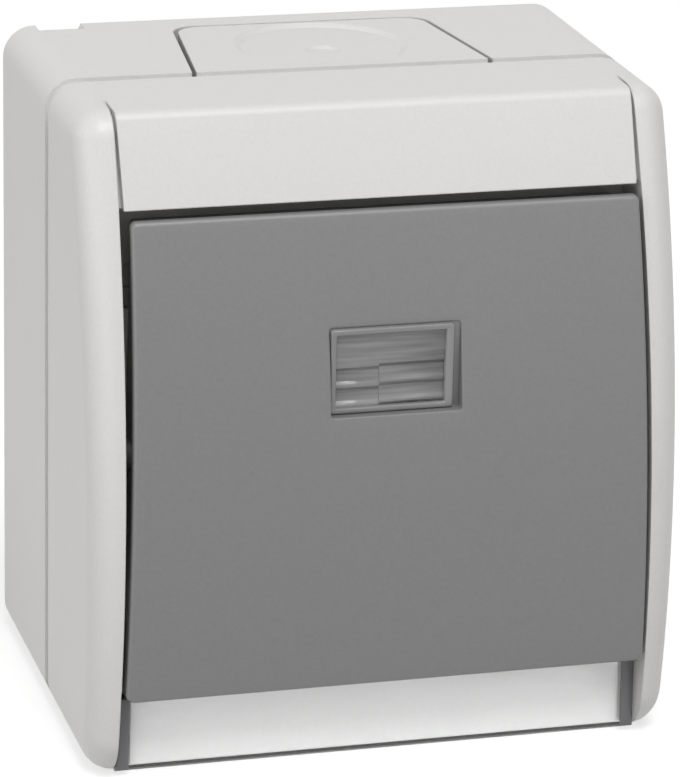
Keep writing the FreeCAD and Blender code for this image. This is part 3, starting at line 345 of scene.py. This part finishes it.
def roundedLoop(corners, radius, perSide, perCorner):
    # closed outline through four corners given anticlockwise, each rounded: arc points, then side points
    # the radius is one number or one for each corner
    corners = np.asarray(corners, float)
    radius = np.broadcast_to(np.asarray(radius, float), 4)
    before = corners - np.roll(corners, 1, 0)
    after = np.roll(corners, -1, 0) - corners
    before /= np.linalg.norm(before, axis=1, keepdims=True)
    after /= np.linalg.norm(after, axis=1, keepdims=True)
    turn = np.arctan2(before[:, 0] * after[:, 1] - before[:, 1] * after[:, 0], (before * after).sum(1))
    reach = radius * np.tan(turn / 2)
    start = corners - before * reach[:, None]
    end = corners + after * reach[:, None]
    centre = start + np.stack([-before[:, 1], before[:, 0]], 1) * radius[:, None]
    first = np.arctan2(start[:, 1] - centre[:, 1], start[:, 0] - centre[:, 0])
    angle = first[:, None] + turn[:, None] * np.linspace(0, 1, perCorner + 1)
    arcs = centre[:, None] + radius[:, None, None] * np.stack([np.cos(angle), np.sin(angle)], -1)
    share = np.linspace(0, 1, perSide + 1)[1:-1, None]
    sides = end[:, None] + (np.roll(start, -1, 0) - end)[:, None] * share
    return np.concatenate([arcs, sides], 1).reshape(-1, 2)


def insetCorners(corners, distance):
    # four corners moved inwards by a distance
    corners = np.asarray(corners, float)
    return corners - np.sign(corners - corners.mean(0)) * distance


def loopRow(loop, depth):
    # outline in x and z with its depth, given as one number or one for each point
    return np.stack([loop[:, 0], np.broadcast_to(depth, len(loop)), loop[:, 1]], 1)


def ringPiece(name, rows, body, material):
    # rows of equal length, closed along and across, so that the piece has no open edge
    faces = gridFaces(len(rows), len(rows[0]), True, True)
    return addMesh(name, np.concatenate(rows), faces, body, material)


def turnedPiece(name, profile, start, direction, body, slot, columns=48):
    # profile of (distance along the axis, radius) turned round an axis, its poles closed by merging
    profile = np.asarray(profile, float)
    axis = np.asarray(direction, float) / np.linalg.norm(direction)
    side = np.cross(axis, (0.0, 0.0, 1.0))
    side /= np.linalg.norm(side)
    other = np.cross(axis, side)
    angle = np.linspace(0, 2 * np.pi, columns, endpoint=False)
    ring = np.cos(angle)[:, None] * side + np.sin(angle)[:, None] * other
    points = np.asarray(start, float) + profile[:, None, :1] * axis + profile[:, None, 1:] * ring
    faces = gridFaces(len(profile), columns, False, True)
    return addMesh(name, points.reshape(-1, 3), faces, body, materials[slot])


def aboutPivot(points, degrees):
    # turns points of the rocker about its pivot axis, which runs along x
    angle = math.radians(degrees)
    y = points[..., 1] - pivotY
    z = points[..., 2] - pivotZ
    return np.stack([points[..., 0], pivotY + y * math.cos(angle) - z * math.sin(angle),
                     pivotZ + y * math.sin(angle) + z * math.cos(angle)], -1)


# Rocker: one closed skin from the lens pocket over the front and its rounded edges to the skirts
# Lengths in millimetres; Rows, Columns, perSide and perCorner count the points of the mesh
rocker = dict(proud=0.25, crownBelow=15.1, arcRadius=150.0, topGap=1.0, bottomGap=0.9, sideGapTop=1.1,
              sideGapBottom=0.45, rightWiderTop=0.45, rightWiderBottom=0.1, skin=2.0, skirtBack=2.4,
              edgeRadius=0.4, edgeDepth=1.0, undercut=1.3, undercutFrom=-14.0, undercutOver=12.0,
              undercutStep=0.05, wallShares=(0.33, 0.66), bottomCorner=1.1, topCorner=0.7, leastCorner=0.2,
              skirtRound=0.3, trunnionRadius=1.7, trunnionReach=1.85, trunnionBevel=0.25, postRadius=1.5,
              postX=7.2, postZ=2.7, plateFront=4.8, perSide=26, perCorner=8, lipRows=5, frontRows=18,
              edgeRows=8, roundRows=4, backRows=7, postColumns=24)
lens = dict(width=15.0, height=9.9, above=9.2, shift=0.4, lip=0.1, recess=0.3, frame=0.65, frameRight=0.95,
            frameThickness=0.7, gap=0.1, pryGap=0.8, paneStep=0.45, thickness=3.0, ribCount=5, ribHeight=0.7,
            cornerRadius=0.35, frameRound=0.2, leastCorner=0.15, perSide=10, perCorner=5, edgeRows=5)


def rockerFront(z):
    # depth of the curved front at a height: an arc, y = centre - root of (radius^2 - (z - crown)^2)
    crownZ = -rocker["crownBelow"]
    centreY = rocker["arcRadius"] - switch["depth"] - rocker["proud"]
    return centreY - np.sqrt(rocker["arcRadius"] ** 2 - (z - crownZ) ** 2)


def rockerSkirtEnd(z):
    # rear edge of the skirts, a straight line that is level in the middle of the travel
    return pivotY + rocker["skirtBack"] - (z - pivotZ) * math.sin(math.radians(switch["restTilt"]))


def rockerHalf(z):
    # half the rocker's width: the room between the cheeks less a side gap that changes evenly down the well
    share = (wellTop - z) / (wellTop - wellBottom)
    return wellHalf(z) - rocker["sideGapTop"] - share * (rocker["sideGapBottom"] - rocker["sideGapTop"])


def lensCorners(inset, rightInset=None):
    # corners of the pocket moved inwards, on the right by another distance where one is given
    left = lens["shift"] - lens["width"] / 2 + inset
    right = lens["shift"] + lens["width"] / 2 - (inset if rightInset is None else rightInset)
    halfZ = lens["height"] / 2 - inset
    low, high = lens["above"] - halfZ, lens["above"] + halfZ
    return [(left, low), (right, low), (right, high), (left, high)]


def makeRockerSkin():
    # each row is the pocket's or the rocker's rounded outline at some inset, laid at the depth of the front,
    # of the skirts or between them; between pocket and edge the outlines change evenly
    low = wellBottom + rocker["bottomGap"]
    high = wellTop - rocker["topGap"]
    outer = [(-rockerHalf(low), low), (rockerHalf(low) + rocker["rightWiderBottom"], low),
             (rockerHalf(high) + rocker["rightWiderTop"], high), (-rockerHalf(high), high)]

    def outline(inset):
        radii = np.repeat([rocker["bottomCorner"], rocker["topCorner"]], 2) - inset
        radii = np.maximum(radii, rocker["leastCorner"])
        return roundedLoop(insetCorners(outer, inset), radii, rocker["perSide"], rocker["perCorner"])

    def skirt(inset):
        # outline of the skirts: towards the top they stand back behind the edge of the front
        loop = outline(inset)
        share = np.clip((loop[:, 1:] - rocker["undercutFrom"]) / rocker["undercutOver"], 0, 1)
        return loop + (outline(inset + rocker["undercut"]) - loop) * share

    def pocket(inset):
        radius = max(lens["cornerRadius"] - inset, rocker["leastCorner"])
        return roundedLoop(lensCorners(inset), radius, rocker["perSide"], rocker["perCorner"])

    seat = rockerFront(lens["above"]) + lens["recess"] + lens["frameThickness"]
    hole = pocket(lens["frame"])
    wallLoop = pocket(0.0)
    rows = [loopRow(hole, rockerFront(hole[:, 1]) + rocker["skin"]), loopRow(hole, seat),
            loopRow(wallLoop, seat)]
    # lip of the pocket and outer edge: quarter circles of inset against depth
    for angle in np.linspace(0, np.pi / 2, rocker["lipRows"]):
        loop = pocket(-lens["lip"] * (1 - math.cos(angle)))
        rows.append(loopRow(loop, rockerFront(loop[:, 1]) + lens["lip"] * (1 - math.sin(angle))))
    inner = pocket(-lens["lip"])
    rim = outline(rocker["edgeRadius"])
    for share in np.linspace(0, 1, rocker["frontRows"])[1:-1]:
        loop = inner + (rim - inner) * share
        rows.append(loopRow(loop, rockerFront(loop[:, 1])))
    for angle in np.linspace(0, np.pi / 2, rocker["edgeRows"]):
        loop = outline(rocker["edgeRadius"] * (1 - math.sin(angle)))
        rows.append(loopRow(loop, rockerFront(loop[:, 1]) + rocker["edgeRadius"] * (1 - math.cos(angle))))
    full = outline(0.0)
    wall = skirt(0.0)
    edgeBack = rockerFront(full[:, 1]) + rocker["edgeDepth"]
    rows += [loopRow(full, edgeBack), loopRow(wall, edgeBack + rocker["undercutStep"])]
    wallDepth = rockerSkirtEnd(wall[:, 1]) - rocker["skirtRound"] - edgeBack
    for share in rocker["wallShares"]:
        rows.append(loopRow(wall, edgeBack + wallDepth * share))
    for angle in np.linspace(0, np.pi / 2, rocker["roundRows"]):
        loop = skirt(rocker["skirtRound"] * (1 - math.cos(angle)))
        rows.append(loopRow(loop, rockerSkirtEnd(loop[:, 1]) - rocker["skirtRound"] * (1 - math.sin(angle))))
    for angle in np.linspace(np.pi / 2, 0, rocker["roundRows"]):
        loop = skirt(rocker["skin"] - rocker["skirtRound"] * (1 - math.cos(angle)))
        rows.append(loopRow(loop, rockerSkirtEnd(loop[:, 1]) - rocker["skirtRound"] * (1 - math.sin(angle))))
    inside = skirt(rocker["skin"])
    rows.append(loopRow(inside, rockerFront(inside[:, 1]) + rocker["skin"]))
    for share in np.linspace(0, 1, rocker["backRows"])[1:-1]:
        loop = inside + (hole - inside) * share
        rows.append(loopRow(loop, rockerFront(loop[:, 1]) + rocker["skin"]))
    skin = ringPiece("rockerSkin", rows, "rocker", materials["rocker_grey"])
    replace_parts(skin, "rocker_cap")


def makeRockerPins():
    # two trunnions with chamfered tips, and four posts that carry the actuator
    inside = rocker["undercut"] + rocker["skin"] / 2
    start = rockerHalf(pivotZ) - inside
    reach = inside + rocker["trunnionReach"]
    radius = rocker["trunnionRadius"]
    bevel = rocker["trunnionBevel"]
    profile = [(0, 0), (0, radius), (reach - bevel, radius), (reach, radius - bevel), (reach, 0)]
    for index, side in ((1, -1), (2, 1)):
        turnedPiece("trunnion" + str(index), profile, (side * start, pivotY, pivotZ), (side, 0, 0),
                    "rocker", "rocker_grey")
    reach = rocker["skin"]
    radius = rocker["postRadius"]
    profile = [(0, 0), (0, radius), (reach, radius), (reach, 0)]
    for index, (sideX, sideZ) in enumerate(((-1, -1), (-1, 1), (1, -1), (1, 1)), 1):
        place = np.array([sideX * rocker["postX"], pivotY - rocker["plateFront"],
                          pivotZ + sideZ * rocker["postZ"]])
        start = aboutPivot(place, switch["restTilt"])
        direction = aboutPivot(place - (0, 1, 0), switch["restTilt"]) - start
        turnedPiece("post" + str(index), profile, start, direction, "rocker", "rocker_grey",
                    rocker["postColumns"])


makeRockerSkin()
makeRockerPins()
print("rocker made")


# Lens: a clear frame with rounded front edges, and a sunken pane with prisms across its back

def makeLensFrame():
    # ring of rounded rectangles, whose front edges are quarter circles of inset against depth
    front = rockerFront(lens["above"]) + lens["recess"]
    back = front + lens["frameThickness"]
    edge = lens["frameRound"]

    def outline(inset, rightInset):
        corners = lensCorners(lens["gap"] + inset, lens["pryGap"] + rightInset)
        radius = max(lens["cornerRadius"] - inset, lens["leastCorner"])
        return roundedLoop(corners, radius, lens["perSide"], lens["perCorner"])

    rows = [loopRow(outline(0.0, 0.0), back)]
    for angle in np.linspace(0, np.pi / 2, lens["edgeRows"]):
        inset = edge * (1 - math.cos(angle))
        rows.append(loopRow(outline(inset, inset), front + edge * (1 - math.sin(angle))))
    for angle in np.linspace(np.pi / 2, 0, lens["edgeRows"]):
        inset = edge * (1 - math.cos(angle))
        loop = outline(lens["frame"] - inset, lens["frameRight"] - inset)
        rows.append(loopRow(loop, front + edge * (1 - math.sin(angle))))
    rows.append(loopRow(outline(lens["frame"], lens["frameRight"]), back))
    return ringPiece("lensFrame", rows, "rocker", lensRim)


# Pane: lengths in millimetres; split is a share of the width, prismFrom, prismPitch and rightShift of the
# height, and rightShare of the prisms' depth on the left
pane = dict(clearance=0.02, split=0.4, splitStep=0.02, prismFrom=0.46, prismPitch=0.27, prismHeight=0.62,
            rightShift=0.04, rightShare=0.8, phases=(0.0, 0.2, 0.72, 0.88, 1.0),
            depths=(0.0, 1.0, 0.55, 0.0, 0.0), heightMean=0.78, heightSwing=0.22, heightTurns=9,
            lineHeight=0.004, linePitch=0.9, toothLand=0.08, leftColumns=16, rightColumns=20, rows=181)


def makeLensPane():
    # front: nearly smooth above, two coarse prisms below, in two panels side by side; back: saw-tooth prisms
    # a prism's depth against its phase: quick drop, slow ramp, steep ramp that catches the light, flat crest
    front = rockerFront(lens["above"]) + lens["recess"] + lens["paneStep"]
    back = rockerFront(lens["above"]) + lens["recess"] + lens["thickness"]
    inset = pane["clearance"]
    corners = lensCorners(lens["gap"] + lens["frame"] + inset, lens["pryGap"] + lens["frameRight"] + inset)
    (left, low), (right, high) = corners[0], corners[2]
    splitX = left + (right - left) * pane["split"]
    columns = np.concatenate([np.linspace(left, splitX - pane["splitStep"], pane["leftColumns"]),
                              np.linspace(splitX + pane["splitStep"], right, pane["rightColumns"])])
    z = np.linspace(low, high, pane["rows"])
    onRight = (columns > splitX)[:, None]
    across = ((columns - left) / (right - left))[:, None]
    down = ((high - z) / (high - low))[None, :] + np.where(onRight, pane["rightShift"], 0.0)
    phase = np.mod(down - pane["prismFrom"], pane["prismPitch"]) / pane["prismPitch"]
    slope = np.interp(phase, pane["phases"], pane["depths"])
    swing = pane["heightMean"] + pane["heightSwing"] * np.cos(pane["heightTurns"] * across)
    height = pane["prismHeight"] * np.where(onRight, pane["rightShare"], 1.0) * swing
    lines = pane["lineHeight"] * np.sin(2 * np.pi * (high - z) / pane["linePitch"])
    faceY = front + np.where(down > pane["prismFrom"], height * slope, 0.0) + lines
    pitch = (high - low) / lens["ribCount"]
    toothLow = low + pitch * np.arange(lens["ribCount"])
    tooth = np.stack([np.tile([back - lens["ribHeight"], back], lens["ribCount"]),
                      np.stack([toothLow + pane["toothLand"], toothLow + pitch], 1).ravel()], 1)[::-1]
    outlineY = np.concatenate([faceY, np.tile(tooth[:, 0], (len(columns), 1))], 1)
    outlineZ = np.tile(np.concatenate([z, tooth[:, 1]]), (len(columns), 1))
    points = np.stack([np.broadcast_to(columns[:, None], outlineY.shape), outlineY, outlineZ], -1)
    count = outlineY.shape[1]
    ends = [np.arange(count), np.arange(count) + (len(columns) - 1) * count]
    faces = list(gridFaces(len(columns), count, False, True)) + ends
    addMesh("lensPane", points.reshape(-1, 3), faces, "rocker", lensSmoke, smoothAngle=20.0)


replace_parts(makeLensFrame(), "rocker_lens")
makeLensPane()
print("lens made")


# Plunger spring: round wire along a helix between the actuator's bore end and the plunger
spring = dict(wire=0.5, pitch=1.6, coilRadius=1.65, start=-41.0, end=-31.0, perTurn=40, perWire=10)


def makeSpring():
    # path: a circle in x and z carried evenly along y; section: a circle across the path, shrunk to a point
    # at both ends
    length = spring["end"] - spring["start"] - spring["wire"]
    turns = length / spring["pitch"]
    along = np.linspace(0, 1, int(turns * spring["perTurn"]) + 1)
    angle = 2 * np.pi * turns * along
    radial = np.stack([np.cos(angle), np.zeros_like(angle), np.sin(angle)], 1)
    path = radial * spring["coilRadius"]
    path[:, 1] = spring["start"] + spring["wire"] / 2 + length * along
    path[:, 2] += pivotZ
    tangent = np.gradient(path, axis=0)
    tangent /= np.linalg.norm(tangent, axis=1, keepdims=True)
    across = np.cross(tangent, radial)
    around = np.linspace(0, 2 * np.pi, spring["perWire"], endpoint=False)
    radius = np.full((len(path), 1, 1), spring["wire"] / 2)
    radius[[0, -1]] = 0.0
    ring = np.cos(around)[None, :, None] * radial[:, None] + np.sin(around)[None, :, None] * across[:, None]
    points = aboutPivot((path[:, None] + ring * radius).reshape(-1, 3), switch["restTilt"])
    return addMesh("springCoil", points, gridFaces(len(path), spring["perWire"], False, True),
                   "rocker", materials["spring_steel"], smoothAngle=60.0)


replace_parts(makeSpring(), "plunger_spring")
print("spring made")


# Label window: the solid's form with its triangles joined, flat areas made one face and edges rounded
# Lengths in millimetres, angles in degrees; setback and thickness as in the solid
windowStrip = dict(setback=3.75, thickness=1.3, edgeRadius=0.12, mergeWithin=0.002, flatWithin=0.6,
                   smoothBelow=35.0, roundAbove=40.0, segments=2)


def makeWindowStrip():
    mesh = frame["nodes"]["label_window"].data.copy()
    mesh.name = "windowStrip"
    work = bmesh.new()
    work.from_mesh(mesh)
    bmesh.ops.remove_doubles(work, verts=work.verts, dist=windowStrip["mergeWithin"] * mm)
    bmesh.ops.dissolve_limit(work, angle_limit=math.radians(windowStrip["flatWithin"]), verts=work.verts,
                             edges=work.edges)
    bmesh.ops.recalc_face_normals(work, faces=work.faces)
    work.to_mesh(mesh)
    work.free()
    piece = bpy.data.objects.new("windowStrip", mesh)
    bpy.context.scene.collection.objects.link(piece)
    mesh.materials.clear()
    mesh.materials.append(materials["clear_plastic"])
    shadeByAngle(mesh, windowStrip["smoothBelow"])
    rounding = piece.modifiers.new("softEdges", "BEVEL")
    rounding.width = windowStrip["edgeRadius"] * mm
    rounding.segments = windowStrip["segments"]
    rounding.limit_method = "ANGLE"
    rounding.angle_limit = math.radians(windowStrip["roundAbove"])
    rounding.harden_normals = True
    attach(piece, "housing")
    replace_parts(piece, "label_window")


makeWindowStrip()
print("label window made")

# Card: thin sheet with rounded corners, a hair behind the window
card = dict(leftMargin=2.0, rightMargin=1.75, low=1.0, high=0.2, behind=0.06, thickness=0.2, cornerRadius=0.4,
            perSide=12, perCorner=5)


def makeCard():
    # the card's rounded outline as a flat front and back, joined round the edge
    front = -(switch["depth"] - windowStrip["setback"] - windowStrip["thickness"] - card["behind"])
    low = -halfHeight + card["low"]
    high = wellBottom - card["high"]
    corners = [(card["leftMargin"] - wellHalf(low), low), (wellHalf(low) - card["rightMargin"], low),
               (wellHalf(high) - card["rightMargin"], high), (card["leftMargin"] - wellHalf(high), high)]
    loop = roundedLoop(corners, card["cornerRadius"], card["perSide"], card["perCorner"])
    count = len(loop)
    points = np.concatenate([loopRow(loop, front), loopRow(loop, front + card["thickness"])])
    faces = list(gridFaces(2, count, False, True)) + [np.arange(count), np.arange(count) + count]
    sheet = addMesh("cardSheet", points, faces, "housing", materials["card_white"])
    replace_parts(sheet, "label_card")


makeCard()
print("card made")

# Raised end ribs of the window, seen as light streaks beside the card; their dark grey tint is painted shade
# for the shaded ends of the window
endRib = dict(inset=0.95, halfWidth=0.74, height=0.3, low=0.7, high=0.1, sunk=0.1, taperPower=0.25, rows=12,
              arcPoints=9)


def makeEndRib(side, name):
    # half-round bar that follows the slope of the cheek: section = a circle's upper half on a sunk foot,
    # its height times (sine of a half turn along the bar) to a small power, so that it falls off at both ends
    front = -(switch["depth"] - windowStrip["setback"])
    low = -halfHeight + endRib["low"]
    high = wellBottom - endRib["high"]
    z = np.linspace(low, high, endRib["rows"])
    angle = np.linspace(0, np.pi, endRib["arcPoints"])
    across = np.concatenate([[1.0], np.cos(angle), [-1.0]]) * endRib["halfWidth"]
    forward = np.concatenate([[-endRib["sunk"]], np.sin(angle) * endRib["height"], [-endRib["sunk"]]])
    taper = np.sin(np.linspace(0, np.pi, len(z))) ** endRib["taperPower"]
    x = side * (wellHalf(z) - endRib["inset"])[:, None] + across[None, :]
    raised = np.maximum(forward, 0)[None, :] * taper[:, None]
    y = front - raised - np.minimum(forward, 0)[None, :]
    points = np.stack([x, y, np.broadcast_to(z[:, None], x.shape)], -1)
    count = len(across)
    ends = [np.arange(count), np.arange(count) + (len(z) - 1) * count]
    faces = list(gridFaces(len(z), count, False, True)) + ends
    addMesh(name, points.reshape(-1, 3), faces, "housing", windowEndShade)


makeEndRib(-1, "windowEndLeft")
makeEndRib(1, "windowEndRight")

# Lip of the rim gasket in black rubber, pushed out into the seam between box and cover: a dark strip that
# paints the shade of the seam
seamShadeLip = dict(seam=26.0, halfThickness=0.11, outer=0.12, inner=0.48, cornerRadius=3.6, perSide=8,
               perCorner=8)


def makeSeamShadeLip():
    # flat ring between two rounded outlines, closed through its four edges
    rows = []
    for inset, side in (("outer", -1), ("outer", 1), ("inner", 1), ("inner", -1)):
        distance = seamShadeLip[inset]
        halfX = switch["width"] / 2 - distance
        halfZ = halfHeight - distance
        corners = [(-halfX, -halfZ), (halfX, -halfZ), (halfX, halfZ), (-halfX, halfZ)]
        radius = seamShadeLip["cornerRadius"] - distance
        loop = roundedLoop(corners, radius, seamShadeLip["perSide"], seamShadeLip["perCorner"])
        rows.append(loopRow(loop, -seamShadeLip["seam"] + side * seamShadeLip["halfThickness"]))
    # the dark rubber strip stands for the shade in the seam
    ringPiece("gasketShadeLip", rows, "housing", materials["seal_rubber"])


makeSeamShadeLip()
print("seam lip made")


# Studio: weak white room light, a strong lamp high in front, weaker ones on the left, on the right and low
# Lengths in metres, powers in watts

white = (1.0, 1.0, 1.0, 1.0)
studio = dict(floorSize=3.0, floorColour=(0.55, 0.55, 0.55, 1.0), floorRoughness=0.9, floorGlow=0.62,
              worldStrength=0.25, lampAim=(0.0, -0.02, 0.0))
lamps = {
    "highLamp": dict(place=(0.0, -0.7, 1.35), power=13.6, wide=0.7, tall=0.7),
    "leftLamp": dict(place=(-1.3, -0.4, 0.6), power=4.6, wide=0.7, tall=0.7),
    "rightLamp": dict(place=(0.85, -1.1, 0.62), power=2.0, wide=0.7, tall=0.7),
    "lowLamp": dict(place=(-0.85, -1.15, 0.1), power=1.9, wide=0.7, tall=0.25),
}


def makeWorld():
    world = bpy.data.worlds.new("studioWorld")
    bpy.context.scene.world = world
    world.use_nodes = True
    tree = world.node_tree
    tree.nodes.clear()
    output = tree.nodes.new("ShaderNodeOutputWorld")
    light = addNode(tree, "ShaderNodeBackground", {"Color": white, "Strength": studio["worldStrength"]})
    shown = addNode(tree, "ShaderNodeBackground", {"Color": white, "Strength": 1.0})
    mix = addNode(tree, "ShaderNodeMixShader")
    join(tree, (seenDirectly(tree), mix.inputs["Fac"]), (light.outputs[0], mix.inputs[1]),
         (shown.outputs[0], mix.inputs[2]), (mix.outputs[0], output.inputs["Surface"]))


def makeFloor():
    # flat square just under the object; seen directly it adds light up to white and keeps the shadow
    lowest = cadBox[0].z
    half = studio["floorSize"] / 2
    mesh = bpy.data.meshes.new("studioFloor")
    corners = [(-half, -half, lowest), (half, -half, lowest), (half, half, lowest), (-half, half, lowest)]
    mesh.from_pydata(corners, [], [(0, 1, 2, 3)])
    floor = bpy.data.objects.new("studioFloor", mesh)
    bpy.context.scene.collection.objects.link(floor)
    material, tree, shader = nodeTree("floorPaper")
    shader.inputs["Base Color"].default_value = studio["floorColour"]
    shader.inputs["Roughness"].default_value = studio["floorRoughness"]
    shader.inputs["Specular IOR Level"].default_value = 0.0
    glow = maths(tree, "MULTIPLY", seenDirectly(tree), studio["floorGlow"])
    join(tree, (glow, shader.inputs["Emission Strength"]))
    shader.inputs["Emission Color"].default_value = white
    mesh.materials.append(material)


def makeLamp(name, place, power, wide, tall):
    lamp = bpy.data.lights.new(name, "AREA")
    lamp.energy = power
    lamp.shape = "RECTANGLE"
    lamp.size = wide
    lamp.size_y = tall
    holder = bpy.data.objects.new(name, lamp)
    holder.location = place
    towards = Vector(studio["lampAim"]) - Vector(place)
    holder.rotation_euler = towards.to_track_quat("-Z", "Y").to_euler()
    bpy.context.scene.collection.objects.link(holder)


# Camera: angles in degrees, the focal length and the picture's height in pixels, the rest in metres
view = dict(focalPixels=4313.08, imageHeight=777, azimuth=-15.696, elevation=18.781, roll=1.332,
            target=(0.007689, 0.0, -0.009742), distance=0.527047, clipStart=0.01, clipEnd=20.0)


def makeCamera():
    # pinhole camera turned by azimuth, elevation and roll about the aim point
    azimuth = math.radians(view["azimuth"])
    elevation = math.radians(view["elevation"])
    roll = math.radians(view["roll"])
    back = Vector((math.sin(azimuth) * math.cos(elevation), -math.cos(azimuth) * math.cos(elevation),
                   math.sin(elevation)))
    right = (-back).cross(Vector((0, 0, 1))).normalized()
    up = right.cross(-back)
    turnedRight = math.cos(roll) * right + math.sin(roll) * up
    turnedUp = -math.sin(roll) * right + math.cos(roll) * up
    data = bpy.data.cameras.new("photoCamera")
    data.lens = view["focalPixels"] / view["imageHeight"] * data.sensor_width
    data.clip_start = view["clipStart"]
    data.clip_end = view["clipEnd"]
    camera = bpy.data.objects.new("photoCamera", data)
    turn = Matrix((turnedRight, turnedUp, back)).transposed()
    camera.matrix_world = Matrix.Translation(Vector(view["target"]) + back * view["distance"]) @ turn.to_4x4()
    bpy.context.scene.collection.objects.link(camera)
    bpy.context.scene.camera = camera


makeWorld()
makeFloor()
for name, lamp in lamps.items():
    makeLamp(name, **lamp)
makeCamera()
bpy.context.scene.view_settings.view_transform = "Standard"
print("studio made")
